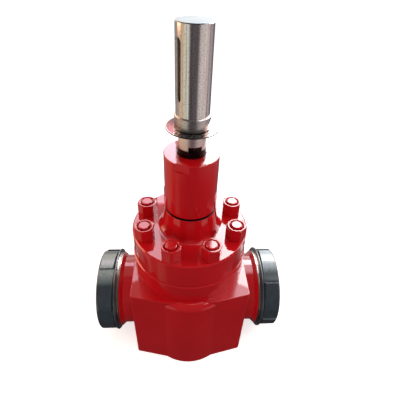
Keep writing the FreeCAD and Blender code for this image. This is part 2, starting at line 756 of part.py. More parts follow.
def make_packing_rings():
    r_in, r_mid, r_out = packing_radii()
    rings = []
    for number in range(PACKING_RINGS):
        z = PACKING_START_Z + number * PACKING_RING_PITCH
        top = z + PACKING_RING_WALL
        rings.append(
            turned(
                [
                    (r_in, z),
                    (r_mid, z + PACKING_VEE),
                    (r_out, z),
                    (r_out, top),
                    (r_mid, top + PACKING_VEE),
                    (r_in, top),
                ]
            )
        )
    return Part.makeCompound(rings)


def make_packing_top_ring():
    r_in, r_mid, r_out = packing_radii()
    return turned(
        [
            (r_in, PACKING_END_Z),
            (r_mid, PACKING_END_Z + PACKING_VEE),
            (r_out, PACKING_END_Z),
            (r_out, GLAND_NOSE_Z),
            (r_in, GLAND_NOSE_Z),
        ]
    )


def make_packing_gland():
    """Screwed gland with a nose that presses on the packing, and two holes for a pin wrench in its top."""
    nose_r = PACKING_BORE_R - GLAND_NOSE_GAP
    shoulder_z = CONE_TOP_Z + ASSEMBLY
    shape = turned(
        [
            (STEM_R + ASSEMBLY, GLAND_NOSE_Z),
            (nose_r, GLAND_NOSE_Z),
            (nose_r, shoulder_z),
            (GLAND_R, shoulder_z),
            (GLAND_R, GLAND_TOP_Z - GLAND_CHAMFER),
            (GLAND_R - GLAND_CHAMFER, GLAND_TOP_Z),
            (STEM_R + ASSEMBLY, GLAND_TOP_Z),
        ]
    )
    pin_circle_r = (STEM_R + GLAND_R) / 2
    for x in (-pin_circle_r, pin_circle_r):
        foot = Vector(x, 0, GLAND_TOP_Z - GLAND_PIN_DEPTH)
        shape = shape.cut(Part.makeCylinder(GLAND_PIN_R, GLAND_PIN_DEPTH + PAST, foot))
    return shape


def make_bearing_housing():
    bottom_chamfer = 0.8
    top_chamfer = 1.2
    hole_chamfer = 0.6
    seal_top = HOUSING_SEAL_Z + HOUSING_SEAL_HEIGHT
    shape = turned(
        [
            (BONNET_NECK_R + THREAD_GAP, HOUSING_BOTTOM_Z),
            (HOUSING_R - bottom_chamfer, HOUSING_BOTTOM_Z),
            (HOUSING_R, HOUSING_BOTTOM_Z + bottom_chamfer),
            (HOUSING_R, HOUSING_TOP_Z - top_chamfer),
            (HOUSING_R - top_chamfer, HOUSING_TOP_Z),
            (HOUSING_HOLE_R + hole_chamfer, HOUSING_TOP_Z),
            (HOUSING_HOLE_R, HOUSING_TOP_Z - hole_chamfer),
            (HOUSING_HOLE_R, seal_top),
            (HOUSING_SEAL_R, seal_top),
            (HOUSING_SEAL_R, HOUSING_SEAL_Z),
            (HOUSING_HOLE_R, HOUSING_SEAL_Z),
            (HOUSING_HOLE_R, HOUSING_ROOF_Z),
            (HOUSING_CAVITY_R, HOUSING_ROOF_Z),
            (HOUSING_CAVITY_R, BONNET_NECK_TOP_Z),
            (BONNET_NECK_R + THREAD_GAP, BONNET_NECK_TOP_Z),
        ]
    )
    flat_y = HOUSING_R - WRENCH_FLAT_DEPTH
    for turn in (0, 180):
        cutter = box(
            (-HOUSING_R, HOUSING_R),
            (-HOUSING_R - PAST, -flat_y),
            (HOUSING_TOP_Z - WRENCH_FLAT_HEIGHT, HOUSING_TOP_Z + PAST),
        )
        shape = shape.cut(about_stem(cutter, WRENCH_FLAT_ANGLE + turn))
    return shape


def make_housing_seal():
    top = HOUSING_SEAL_Z + HOUSING_SEAL_HEIGHT
    return ring(NUT_NECK_R + RUNNING, HOUSING_SEAL_R, HOUSING_SEAL_Z, top)


def make_race(z, r_in):
    edge = 0.6
    return turned(
        [
            (r_in + edge, z),
            (RACE_OUTER_R - edge, z),
            (RACE_OUTER_R, z + edge),
            (RACE_OUTER_R, z + RACE_HEIGHT - edge),
            (RACE_OUTER_R - edge, z + RACE_HEIGHT),
            (r_in + edge, z + RACE_HEIGHT),
            (r_in, z + RACE_HEIGHT - edge),
            (r_in, z + edge),
        ]
    )


def roller(z, r, number, inner_r, length):
    """One cylinder lying along a radius of the bearing."""
    angle = math.radians(360.0 / ROLLER_COUNT * number)
    way = Vector(math.cos(angle), math.sin(angle), 0)
    return Part.makeCylinder(r, length, Vector(0, 0, z) + way * inner_r, way)


def make_rollers(layer_z):
    z = layer_z + SLIDING + ROLLER_R
    rollers = []
    for number in range(ROLLER_COUNT):
        rollers.append(roller(z, ROLLER_R, number, ROLLER_INNER_R, ROLLER_LENGTH))
    return Part.makeCompound(rollers)


def make_cage(layer_z):
    z = layer_z + SLIDING + ROLLER_R
    half = CAGE_HEIGHT / 2
    shape = ring(ROLLER_INNER_R - CAGE_RIM, ROLLER_OUTER_R + CAGE_RIM, z - half, z + half)
    gap = 0.15
    for number in range(ROLLER_COUNT):
        pocket = roller(z, ROLLER_R + gap, number, ROLLER_INNER_R - gap, ROLLER_LENGTH + 2 * gap)
        shape = shape.cut(pocket)
    return shape


def dog_ring(r_in, r_out, centre, angle):
    """Sectors of a ring that stand up from the shoulder, spaced evenly round the stem."""
    half = angle / 2
    pieces = []
    for number in range(DOG_COUNT):
        middle = centre + number * 360.0 / DOG_COUNT
        outer = []
        for turn in (middle - half, middle, middle + half):
            a = math.radians(turn)
            outer.append((math.sin(a), -math.cos(a)))
        steps = [
            (outer[0][0] * r_in, outer[0][1] * r_in),
            (outer[0][0] * r_out, outer[0][1] * r_out),
            (
                (outer[1][0] * r_out, outer[1][1] * r_out),
                (outer[2][0] * r_out, outer[2][1] * r_out),
            ),
            (outer[2][0] * r_in, outer[2][1] * r_in),
            (
                (outer[1][0] * r_in, outer[1][1] * r_in),
                (outer[0][0] * r_in, outer[0][1] * r_in),
            ),
        ]
        face = closed_face(steps, lambda a, b: Vector(a, b, DOG_BASE_Z))
        pieces.append(face.extrude(Vector(0, 0, DOG_HEIGHT)))
    return pieces


def make_stem_nut():
    tail_z = BONNET_NECK_TOP_Z + 2.0
    upper_top = UPPER_TURNING_Z + RACE_HEIGHT
    thread_r = SCREW_R + RUNNING
    shape = turned(
        [
            (NUT_RELIEF_R, tail_z),
            (NUT_TAIL_R, tail_z),
            (NUT_TAIL_R, NUT_FLANGE_Z),
            (NUT_FLANGE_R, NUT_FLANGE_Z),
            (NUT_FLANGE_R, UPPER_TURNING_Z),
            (NUT_TAIL_R, UPPER_TURNING_Z),
            (NUT_TAIL_R, upper_top),
            (NUT_NECK_R, upper_top + NUT_TAIL_STEP),
            (NUT_NECK_R, DOG_BASE_Z),
            (NUT_SPINDLE_R, DOG_BASE_Z),
            (NUT_SPINDLE_R, NUT_TOP_Z - NUT_TOP_CHAMFER),
            (NUT_SPINDLE_R - NUT_TOP_CHAMFER, NUT_TOP_Z),
            (thread_r, NUT_TOP_Z),
            (thread_r, NUT_SCREW_START_Z + NUT_SCREW_LEAD),
            (NUT_RELIEF_R, NUT_SCREW_START_Z),
        ]
    )
    dogs = dog_ring(NUT_SPINDLE_R - DOG_ROOT, BUSH_R, DOG_CENTRE, DOG_ANGLE - DOG_PLAY)
    return shape.fuse(dogs).removeSplitter()


def make_drive_bush():
    bore_r = NUT_SPINDLE_R + SLIDING
    shape = turned(
        [
            (bore_r, DOG_BASE_Z),
            (BUSH_R, DOG_BASE_Z),
            (BUSH_R, BUSH_TOP_Z - BUSH_CHAMFER),
            (BUSH_R - BUSH_CHAMFER, BUSH_TOP_Z),
            (bore_r, BUSH_TOP_Z),
        ]
    )
    for notch in dog_ring(NUT_SPINDLE_R - DOG_ROOT, BUSH_R + PAST, DOG_CENTRE, DOG_ANGLE):
        below = notch.translated(Vector(0, 0, -DOG_HEIGHT / 2))
        above = notch.translated(Vector(0, 0, DOG_CLEARANCE))
        shape = shape.cut(below.fuse(above))
    return shape


def make_clamp_washer():
    edge = 0.5
    hole_r = NUT_SPINDLE_R + ASSEMBLY
    return turned(
        [
            (hole_r, BUSH_TOP_Z),
            (WASHER_R - edge, BUSH_TOP_Z),
            (WASHER_R, BUSH_TOP_Z + edge),
            (WASHER_R, WASHER_TOP_Z - edge),
            (WASHER_R - edge, WASHER_TOP_Z),
            (hole_r, WASHER_TOP_Z),
        ]
    )


def make_retaining_collar():
    thread_r = NUT_SPINDLE_R + THREAD_GAP
    return turned(
        [
            (thread_r, WASHER_TOP_Z),
            (COLLAR_R - COLLAR_BOTTOM_CHAMFER, WASHER_TOP_Z),
            (COLLAR_R, WASHER_TOP_Z + COLLAR_BOTTOM_CHAMFER),
            (COLLAR_R, COLLAR_TOP_Z - COLLAR_TOP_CHAMFER),
            (COLLAR_R - COLLAR_TOP_CHAMFER, COLLAR_TOP_Z),
            (TUBE_R + SLIDING, COLLAR_TOP_Z),
            (TUBE_R + SLIDING, TUBE_SEAT_Z),
            (thread_r, TUBE_SEAT_Z),
        ]
    )


def make_stem_protector():
    shape = turned(
        [
            (TUBE_INNER_R, TUBE_SEAT_Z),
            (TUBE_R, TUBE_SEAT_Z),
            (TUBE_R, TUBE_TOP_Z - TUBE_TOP_CHAMFER),
            (TUBE_R - TUBE_TOP_CHAMFER, TUBE_TOP_Z),
            (TUBE_INNER_R, TUBE_TOP_Z),
        ]
    )
    half = SLOT_WIDTH / 2
    reach = TUBE_R + PAST
    slot = box((-half, half), (-reach, 0), (SLOT_BOTTOM_Z + half, SLOT_TOP_Z - half))
    for z in (SLOT_BOTTOM_Z + half, SLOT_TOP_Z - half):
        slot = slot.fuse(Part.makeCylinder(half, reach, Vector(0, 0, z), Vector(0, -1, 0)))
    return shape.cut(about_stem(slot, SLOT_ANGLE))


def make_protector_lid():
    return bar(TUBE_INNER_R, TUBE_TOP_Z - LID_THICKNESS, TUBE_TOP_Z)


def pad_outline(side):
    """Outline of the protector's six grip pads, seen along the flow. Each pad rises slowly, then drops in one step."""
    way = 1 if side == "right" else -1
    pitch = 360.0 / PROTECTOR_PADS

    def at(r, angle):
        a = math.radians(angle)
        return (-r * math.cos(a), r * math.sin(a))

    middle_r = (PROTECTOR_LOW_R + PROTECTOR_HIGH_R) / 2
    start = PROTECTOR_STEP_ANGLE[side]
    steps = [at(PROTECTOR_LOW_R, start)]
    for number in range(PROTECTOR_PADS):
        low = start + way * pitch * number
        steps.append((at(middle_r, low + way * pitch / 2), at(PROTECTOR_HIGH_R, low + way * pitch)))
        steps.append(at(PROTECTOR_LOW_R, low + way * pitch))
    return steps


def make_thread_protector(side):
    """Moulded cap: a rounded lip, a narrow groove, and a shell with grip pads and a closed end."""
    bead = PROTECTOR_LIP_WIDTH / 2
    bead_base = PROTECTOR_LIP_R - bead
    edge = PROTECTOR_EDGE_R
    top = PROTECTOR_HIGH_R + ASSEMBLY
    edge_start = (PROTECTOR_FACE_X - edge, top)
    edge_end = (PROTECTOR_FACE_X, top - edge)
    edge_middle = corner_fillet((edge_start[0], edge_end[1]), edge_start, edge_end, edge)
    envelope = turned_on_flow(
        [
            (PROTECTOR_LIP_X, PROTECTOR_BORE_R),
            (PROTECTOR_LIP_X, bead_base),
            ((PROTECTOR_LIP_X + bead, PROTECTOR_LIP_R), (PROTECTOR_LIP_END_X, bead_base)),
            (PROTECTOR_LIP_END_X, PROTECTOR_GROOVE_R),
            (PROTECTOR_SHELL_X, PROTECTOR_GROOVE_R),
            (PROTECTOR_SHELL_X + PROTECTOR_INNER_BEVEL, top),
            edge_start,
            (edge_middle, edge_end),
            (PROTECTOR_FACE_X, 0),
            (PROTECTOR_END_X, 0),
            (PROTECTOR_END_X, PROTECTOR_BORE_R),
        ]
    )
    outline = closed_face(pad_outline(side), lambda a, b: Vector(0, a, FLOW_Z + b))
    if side == "right":
        shell = outline.translated(Vector(PROTECTOR_SHELL_X, 0, 0))
        grip = shell.extrude(Vector(PROTECTOR_FACE_X - PROTECTOR_SHELL_X + PAST, 0, 0))
        rim = flow_bar(PROTECTOR_LIP_R + PAST, PROTECTOR_LIP_X - PAST, PROTECTOR_SHELL_X)
    else:
        envelope = to_left(envelope)
        shell = outline.translated(Vector(-PROTECTOR_SHELL_X, 0, 0))
        grip = shell.extrude(Vector(PROTECTOR_SHELL_X - PROTECTOR_FACE_X - PAST, 0, 0))
        rim = flow_bar(PROTECTOR_LIP_R + PAST, -PROTECTOR_SHELL_X, PAST - PROTECTOR_LIP_X)
    return envelope.common(grip.fuse(rim)).removeSplitter()


def save(name, shape):
    if not shape.isValid():
        print("not valid:", name)
    shape.exportStep("parts/" + name + ".step")


def main():
    os.makedirs("parts", exist_ok=True)
    pieces = {
        "body": make_body(),
        "bonnet": make_bonnet(),
        "bonnet_studs": make_bonnet_studs(),
        "bonnet_nuts": make_bonnet_nuts(),
        "bonnet_seal_ring": make_bonnet_seal_ring(),
        "seat_ring_right": make_seat_ring(),
        "seat_ring_left": to_left(make_seat_ring()),
        "seat_seal_right": make_seat_seal(),
        "seat_seal_left": to_left(make_seat_seal()),
        "union_seal_right": make_union_seal(),
        "union_seal_left": to_left(make_union_seal()),
        "packing_bottom_ring": make_packing_bottom_ring(),
        "packing_rings": make_packing_rings(),
        "packing_top_ring": make_packing_top_ring(),
        "packing_gland": make_packing_gland(),
        "bearing_housing": make_bearing_housing(),
        "housing_seal": make_housing_seal(),
        "lower_race_fixed": make_race(BONNET_NECK_TOP_Z, FIXED_RACE_INNER_R),
        "lower_rollers": make_rollers(LOWER_ROLLERS_Z),
        "lower_cage": make_cage(LOWER_ROLLERS_Z),
        "lower_race_turning": make_race(LOWER_TURNING_Z, TURNING_RACE_INNER_R),
        "upper_race_turning": make_race(UPPER_TURNING_Z, TURNING_RACE_INNER_R),
        "upper_rollers": make_rollers(UPPER_ROLLERS_Z),
        "upper_cage": make_cage(UPPER_ROLLERS_Z),
        "upper_race_fixed": make_race(UPPER_FIXED_Z, FIXED_RACE_INNER_R),
        "stem_nut": make_stem_nut(),
        "drive_bush": make_drive_bush(),
        "clamp_washer": make_clamp_washer(),
        "retaining_collar": make_retaining_collar(),
        "stem_protector": make_stem_protector(),
        "protector_lid": make_protector_lid(),
        "stem": make_stem(),
        "gate": make_gate(),
        "thread_protector_left": make_thread_protector("left"),
        "thread_protector_right": make_thread_protector("right"),
    }
    for name, shape in pieces.items():
        save(name, shape)


main()
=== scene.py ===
import math

import bmesh
import bpy
from mathutils import Matrix, Vector


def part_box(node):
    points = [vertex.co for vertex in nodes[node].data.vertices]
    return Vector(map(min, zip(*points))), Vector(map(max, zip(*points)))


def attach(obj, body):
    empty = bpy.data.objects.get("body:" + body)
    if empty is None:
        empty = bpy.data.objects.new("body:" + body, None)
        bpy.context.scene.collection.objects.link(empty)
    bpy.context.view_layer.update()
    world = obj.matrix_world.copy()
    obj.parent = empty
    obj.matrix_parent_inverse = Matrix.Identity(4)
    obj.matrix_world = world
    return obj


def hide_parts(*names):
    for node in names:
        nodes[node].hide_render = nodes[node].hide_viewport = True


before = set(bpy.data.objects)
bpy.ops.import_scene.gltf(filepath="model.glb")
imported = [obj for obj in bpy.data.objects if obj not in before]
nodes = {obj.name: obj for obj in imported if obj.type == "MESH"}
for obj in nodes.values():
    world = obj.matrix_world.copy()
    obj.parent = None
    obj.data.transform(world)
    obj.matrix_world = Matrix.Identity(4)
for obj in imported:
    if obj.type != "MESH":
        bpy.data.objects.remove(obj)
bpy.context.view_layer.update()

scene = bpy.context.scene
scene.view_settings.view_transform = "Standard"


# The camera. It stands close in front of the valve, a little higher than its top and a little to the
# left, and looks down over the bonnet to the body. It is held slightly turned in the hand.
CAMERA_PLACE = Vector((-0.0210, -0.5081, 0.7841))
CAMERA_YAW = 0.0783
CAMERA_DOWN = 0.6674
CAMERA_ROLL = 0.0472
CAMERA_LENS_MM = 29.15
CAMERA_SENSOR_MM = 36
CAMERA_NEAREST = 0.01

ahead = Vector(
    (
        math.sin(CAMERA_YAW) * math.cos(CAMERA_DOWN),
        math.cos(CAMERA_YAW) * math.cos(CAMERA_DOWN),
        -math.sin(CAMERA_DOWN),
    )
)
level_right = Vector((math.cos(CAMERA_YAW), -math.sin(CAMERA_YAW), 0))
level_up = level_right.cross(ahead)
view_x = level_right * math.cos(CAMERA_ROLL) + level_up * math.sin(CAMERA_ROLL)
view_y = level_up * math.cos(CAMERA_ROLL) - level_right * math.sin(CAMERA_ROLL)
turned = Matrix((view_x, view_y, -ahead)).transposed().to_4x4()
camera = bpy.data.objects.new("camera", bpy.data.cameras.new("camera"))
scene.collection.objects.link(camera)
camera.matrix_world = Matrix.Translation(CAMERA_PLACE) @ turned
camera.data.sensor_width = CAMERA_SENSOR_MM
camera.data.lens = CAMERA_LENS_MM
camera.data.clip_start = CAMERA_NEAREST
scene.camera = camera


# The studio floor. A broad board with pale matt paint, rolled on, and lit enough to stay white round the
# valve. Neither the gloss nor the shading of the valve picks it up.
FLOOR_COLOUR = "#F4F4F2"
FLOOR_GLOW = 0.62
FLOOR_SIZE = 60.0
SHARP_DEGREES = 24


def linear(code):
    """An sRGB colour written as hex, in linear light."""
    channels = [int(code[i:i + 2], 16) / 255 for i in (1, 3, 5)]
    return [c / 12.92 if c <= 0.04045 else ((c + 0.055) / 1.055) ** 2.4 for c in channels] + [1.0]


def add(tree, kind, inputs=None, stops=None, **settings):
    """Adds a node with its settings, and gives each input a value or a link. Stops are a ramp's colours."""
    made = tree.nodes.new("ShaderNode" + kind)
    for name, value in settings.items():
        setattr(made, name, value)
    for name, value in (inputs or {}).items():
        if isinstance(value, bpy.types.NodeSocket):
            tree.links.new(value, made.inputs[name])
        else:
            made.inputs[name].default_value = value
    for number, (place, colour) in enumerate(stops or []):
        points = made.color_ramp.elements
        point = points[number] if number < len(points) else points.new(place)
        point.position = place
        point.color = linear(colour)
    return made


def new_material(name, colour, roughness, metallic=0.0, **sockets):
    """A material with one shader and its constant values. Returns it, its tree and its shader."""
    made = bpy.data.materials.new(name)
    made.use_nodes = True
    shader = made.node_tree.nodes["Principled BSDF"]
    shader.inputs["Base Color"].default_value = linear(colour)
    shader.inputs["Roughness"].default_value = roughness
    shader.inputs["Metallic"].default_value = metallic
    for socket, value in sockets.items():
        shader.inputs[socket.replace("_", " ")].default_value = value
    return made, made.node_tree, shader


def piece_from(name, bm, material, body):
    """Makes an object of a bmesh, smooth but for its sharp edges, and fixes it to its body."""
    bmesh.ops.recalc_face_normals(bm, faces=bm.faces)
    mesh = bpy.data.meshes.new(name)
    bm.to_mesh(mesh)
    bm.free()
    mesh.shade_smooth()
    mesh.set_sharp_from_angle(angle=math.radians(SHARP_DEGREES))
    mesh.materials.append(material)
    made = bpy.data.objects.new(name, mesh)
    scene.collection.objects.link(made)
    if body:
        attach(made, body)
    return made


# Matt paint: an even white, with a mottle that is only just there.
painted_floor, tree, shader = new_material(
    "painted_studio_floor",
    FLOOR_COLOUR,
    roughness=0.9,
    Emission_Strength=FLOOR_GLOW,
    Emission_Color=(1, 1, 1, 1),
)
place = add(tree, "TexCoord").outputs["Object"]
mottle = add(tree, "TexNoise", {"Vector": place, "Scale": 3.0, "Detail": 3.0})
tint = add(tree, "ValToRGB", {"Fac": mottle.outputs["Fac"]}, stops=[(0.3, "#F1F1EF"), (0.7, "#F6F6F5")])
tree.links.new(tint.outputs["Color"], shader.inputs["Base Color"])
bm = bmesh.new()
bmesh.ops.create_grid(bm, x_segments=4, y_segments=4, size=FLOOR_SIZE / 2)
floor = piece_from("floor", bm, painted_floor, None)
floor.visible_glossy = False
floor.visible_diffuse = False


# The studio lamps. Soft ones in front, above and at the sides light the valve and leave no reflection.
# Panels behind and above it only show as reflections, for what lies flat and for the edges. One warm
# lamp on the left and one high on the right do both.
MIDDLE = (0, 0, 0.25)
BONNET = (0.1, 0, 0.32)
UNREFLECTED = {"visible_glossy": False}
ONLY_REFLECTED = {"visible_diffuse": False}


def lamp(name, place, aim, size, watts, colour="#FFFFFF", unseen_by=None):
    """A rectangular soft lamp. It never shows itself to the camera."""
    data = bpy.data.lights.new(name, "AREA")
    data.shape = "RECTANGLE"
    data.size, data.size_y = size
    data.energy = watts
    data.color = linear(colour)[:3]
    made = bpy.data.objects.new(name, data)
    scene.collection.objects.link(made)
    made.location = place
    made.rotation_euler = (Vector(aim) - Vector(place)).to_track_quat("-Z", "Y").to_euler()
    made.visible_camera = False
    for ray, seen in (unseen_by or {}).items():
        setattr(made, ray, seen)


lamp("broad_left_lamp", (-1.0, -2.35, 1.0), MIDDLE, (1.8, 1.8), 15, unseen_by=UNREFLECTED)
lamp("soft_right_lamp", (1.3, -2.2, 1.1), MIDDLE, (1.4, 1.4), 5, unseen_by=UNREFLECTED)
lamp("soft_top_lamp", (0.0, 0.2, 3.0), MIDDLE, (2.0, 2.0), 17, unseen_by=UNREFLECTED)
lamp("warm_left_lamp", (-2.8, 0.5, 0.85), MIDDLE, (1.6, 1.4), 34, "#FFB48C")
lamp("warm_high_left_lamp", (-2.1, 0.4, 2.2), (0, 0, 0.2), (1.0, 1.0), 8, "#FFBE9C", UNREFLECTED)
lamp("soft_side_lamp", (2.4, 0.1, 1.5), MIDDLE, (1.6, 1.6), 22, unseen_by=UNREFLECTED)
lamp("warm_high_right_lamp", (1.9, 0.17, 1.6), (0, 0, 0.3), (0.9, 0.7), 7, "#FFB694")
lamp("bright_panel_behind", (1.59, 3.0, 3.05), BONNET, (3.46, 2.0), 255, unseen_by=ONLY_REFLECTED)
lamp("mauve_panel_behind_left", (-1.05, 3.0, 3.1), (0, 0, 0.32), (1.4, 1.5), 42, "#F2DCEB", ONLY_REFLECTED)
lamp("small_panel_behind", (-0.20, 3.0, 2.3), (0, 0, 0.49), (0.26, 0.6), 4, "#EFE3F2", ONLY_REFLECTED)
lamp("bright_panel_above", (1.5, -0.65, 2.5), BONNET, (1.5, 0.8), 12, unseen_by=ONLY_REFLECTED)


# The surroundings. Only reflections show them: the ground all round, lighter far off than near and dark
# right under the valve, and the open sky, bright behind the valve to the right. All else is lit by the
# same soft light from every side, and the camera sees white.
SOFT_LIGHT = (0.36, 0.36, 0.36, 1)
SKY_BRIGHTNESS = (7.6, 7.9, 8.2, 1)
SKY_IN_FRONT = (0.16, 0.15, 0.16, 1)
GROUND_UNDER = "#40383B"
# A mixing node has one set of sockets for each kind of value. These are its numbers for colours.
SHARE, UNDER, OVER, MIXED = 0, 6, 7, 2
STEP = {"interpolation_type": "SMOOTHSTEP"}

world = bpy.data.worlds.new("soft_surroundings")
scene.world = world
world.use_nodes = True
tree = world.node_tree
axes = add(tree, "SeparateXYZ", {0: add(tree, "TexCoord").outputs["Generated"]}).outputs
forward = add(tree, "Math", {0: axes["Y"], 1: -1.0}, operation="MULTIPLY")
round_front = add(tree, "Math", {0: axes["X"], 1: forward.outputs[0]}, operation="ARCTAN2").outputs[0]
round_back = add(tree, "Math", {0: axes["X"], 1: axes["Y"]}, operation="ARCTAN2").outputs[0]
front_place = add(tree, "MapRange", {"Value": round_front, "From Min": -math.pi, "From Max": math.pi})
back_place = add(tree, "MapRange", {"Value": round_back, "From Min": -math.pi, "From Max": math.pi})
far_ground = add(
    tree,
    "ValToRGB",
    {"Fac": front_place.outputs[0]},
    stops=[
        (0.00, "#C4C8C8"),
        (0.14, "#9A9A9C"),
        (0.22, "#E2BFA6"),
        (0.30, "#E6D3B6"),
        (0.36, "#E8E4D2"),
        (0.404, "#EAEAE4"),
        (0.418, "#A8A49E"),
        (0.433, "#5E585C"),
        (0.556, "#665E62"),
        (0.590, "#CFC6C4"),
        (0.64, "#E6DEDE"),
        (0.705, "#F4E2E0"),
        (0.77, "#B8A6A8"),
        (0.83, "#B4AEB6"),
        (0.89, "#5E5C62"),
        (1.00, "#C4C8C8"),
    ],
)
near_ground = add(
    tree,
    "ValToRGB",
    {"Fac": front_place.outputs[0]},
    stops=[
        (0.00, "#6A6668"),
        (0.14, "#8A7C78"),
        (0.22, "#B98F80"),
        (0.25, "#A98272"),
        (0.262, "#785A50"),
        (0.30, "#7C6056"),
        (0.312, "#B08C7E"),
        (0.352, "#9C7C70"),
        (0.364, "#5C4C4A"),
        (0.45, "#4C4346"),
        (0.66, "#484044"),
        (0.73, "#5A484C"),
        (0.80, "#64565A"),
        (0.90, "#5A5456"),
        (1.00, "#6A6668"),
    ],
)
skyline = add(
    tree,
    "ValToRGB",
    {"Fac": back_place.outputs[0]},
    stops=[
        (0.00, "#6C6A6E"),
        (0.25, "#8A7464"),
        (0.42, "#9A8474"),
        (0.50, "#767574"),
        (0.525, "#7F7F7F"),
        (0.545, "#E0E2E4"),
        (0.66, "#E6E6E6"),
        (0.76, "#949498"),
        (1.00, "#6C6A6E"),
    ],
)
overhead = add(
    tree,
    "ValToRGB",
    {"Fac": back_place.outputs[0]},
    stops=[
        (0.00, "#38383C"),
        (0.25, "#5C4A42"),
        (0.46, "#604E48"),
        (0.503, "#6A6264"),
        (0.520, "#A6A6AA"),
        (0.545, "#DCDCE0"),
        (0.62, "#D4D4D8"),
        (0.70, "#84848A"),
        (1.00, "#38383C"),
    ],
)
near = add(tree, "MapRange", {"Value": axes["Z"], "From Min": -0.44, "From Max": -0.60}, **STEP).outputs[0]
beneath = add(tree, "MapRange", {"Value": axes["Z"], "From Min": -0.77, "From Max": -0.83}, **STEP).outputs[0]
high_up = add(tree, "MapRange", {"Value": axes["Z"], "From Min": 0.38, "From Max": 0.60}, **STEP).outputs[0]
behind = add(tree, "MapRange", {"Value": axes["Y"], "From Min": -0.04, "From Max": 0.08}, **STEP).outputs[0]
upper = add(tree, "MapRange", {"Value": axes["Z"], "From Min": -0.04, "From Max": 0.04}, **STEP).outputs[0]
layers = {SHARE: near, UNDER: far_ground.outputs["Color"], OVER: near_ground.outputs["Color"]}
ground = add(tree, "Mix", layers, data_type="RGBA").outputs[MIXED]
layers = {SHARE: beneath, UNDER: ground, OVER: linear(GROUND_UNDER)}
ground = add(tree, "Mix", layers, data_type="RGBA").outputs[MIXED]
layers = {SHARE: high_up, UNDER: skyline.outputs["Color"], OVER: overhead.outputs["Color"]}
sky = add(tree, "Mix", layers, data_type="RGBA").outputs[MIXED]
layers = {SHARE: 1.0, UNDER: sky, OVER: SKY_BRIGHTNESS}
sky = add(tree, "Mix", layers, data_type="RGBA", blend_type="MULTIPLY").outputs[MIXED]
layers = {SHARE: behind, UNDER: SKY_IN_FRONT, OVER: sky}
sky = add(tree, "Mix", layers, data_type="RGBA").outputs[MIXED]
layers = {SHARE: upper, UNDER: ground, OVER: sky}
around = add(tree, "Mix", layers, data_type="RGBA").outputs[MIXED]
rays = add(tree, "LightPath").outputs
layers = {SHARE: rays["Is Glossy Ray"], UNDER: SOFT_LIGHT, OVER: around}
lit = add(tree, "Mix", layers, data_type="RGBA").outputs[MIXED]
layers = {SHARE: rays["Is Camera Ray"], UNDER: lit, OVER: (1, 1, 1, 1)}
seen = add(tree, "Mix", layers, data_type="RGBA").outputs[MIXED]
tree.links.new(seen, tree.nodes["Background"].inputs["Color"])


# Body. A steel casting with a round belly in front and behind, a ring machined for the bonnet and a
# flared hub at each end. It is sprayed with red gloss enamel, which stops at the bare union threads.
ENAMEL_RED = "#C20F17"
ENAMEL_DEEP = "#B70D14"
BARE_ROOT = "#8A7F76"
BARE_FROM = 0.1586
PAINT_EDGE = 0.0003


def dress(material, *names):
    """Gives CAD pieces their material."""
    for name in names:
        mesh = nodes[name].data
        mesh.materials.clear()
        mesh.materials.append(material)


def per_metre(size_mm):
    """The scale that gives a pattern this size."""
    return 1000.0 / size_mm


def enamel(name, edge_mm):
    """Gloss enamel sprayed over steel: a clear wet-looking coat, thick at the edges, over a colour that
    clouds a little and still shows the surface below. The sand grain of a casting is drawn 5 mm wide,
    coarser than it is, so that it shows. Returns the material, its tree, its shader and its colour."""
    made, tree, shader = new_material(
        name,
        ENAMEL_RED,
        roughness=0.30,
        Coat_Weight=1.0,
        Coat_Roughness=0.03,
        Coat_IOR=1.5,
        Specular_IOR_Level=0.05,
    )
    place = add(tree, "TexCoord").outputs["Object"]
    clouds = add(tree, "TexNoise", {"Vector": place, "Scale": per_metre(90), "Detail": 2.0}).outputs["Fac"]
    colour = add(tree, "ValToRGB", {"Fac": clouds}, stops=[(0.3, ENAMEL_DEEP), (0.7, ENAMEL_RED)])
    patches = add(tree, "TexNoise", {"Vector": place, "Scale": per_metre(18), "Detail": 3.0}).outputs["Fac"]
    dull = add(tree, "MapRange", {"Value": patches, "To Min": 0.24, "To Max": 0.42})
    rounded = add(tree, "Bevel", {"Radius": edge_mm / 1000}, samples=4).outputs[0]
    grain = {"Vector": place, "Scale": per_metre(5), "Detail": 4.0, "Roughness": 0.6}
    sand = add(tree, "TexNoise", grain).outputs["Fac"]
    cast = add(tree, "Bump", {"Strength": 0.15, "Distance": 0.0002, "Height": sand, "Normal": rounded})
    peel = add(tree, "TexNoise", {"Vector": place, "Scale": per_metre(2.2), "Detail": 1.0}).outputs["Fac"]
    skin = add(tree, "Bump", {"Strength": 0.06, "Distance": 0.0001, "Height": peel, "Normal": rounded})
    tree.links.new(colour.outputs["Color"], shader.inputs["Base Color"])
    tree.links.new(dull.outputs[0], shader.inputs["Roughness"])
    tree.links.new(cast.outputs[0], shader.inputs["Normal"])
    tree.links.new(skin.outputs[0], shader.inputs["Coat Normal"])
    return made, tree, shader, colour.outputs["Color"]


body_enamel, tree, shader, red = enamel("red_enamel_on_cast_steel_with_turned_ends", edge_mm=0.8)
axes = add(tree, "SeparateXYZ", {0: add(tree, "TexCoord").outputs["Object"]}).outputs
along = add(tree, "Math", {0: axes["X"]}, operation="ABSOLUTE").outputs[0]
bare = add(tree, "MapRange", {"Value": along, "From Min": BARE_FROM, "From Max": BARE_FROM + PAINT_EDGE})
colour = add(tree, "Mix", {SHARE: bare.outputs[0], UNDER: red, OVER: linear(BARE_ROOT)}, data_type="RGBA")
coat = add(tree, "MapRange", {"Value": bare.outputs[0], "To Min": 1.0, "To Max": 0.0})
tree.links.new(colour.outputs[MIXED], shader.inputs["Base Color"])
tree.links.new(bare.outputs[0], shader.inputs["Metallic"])
tree.links.new(coat.outputs[0], shader.inputs["Coat Weight"])
dress(body_enamel, "body")


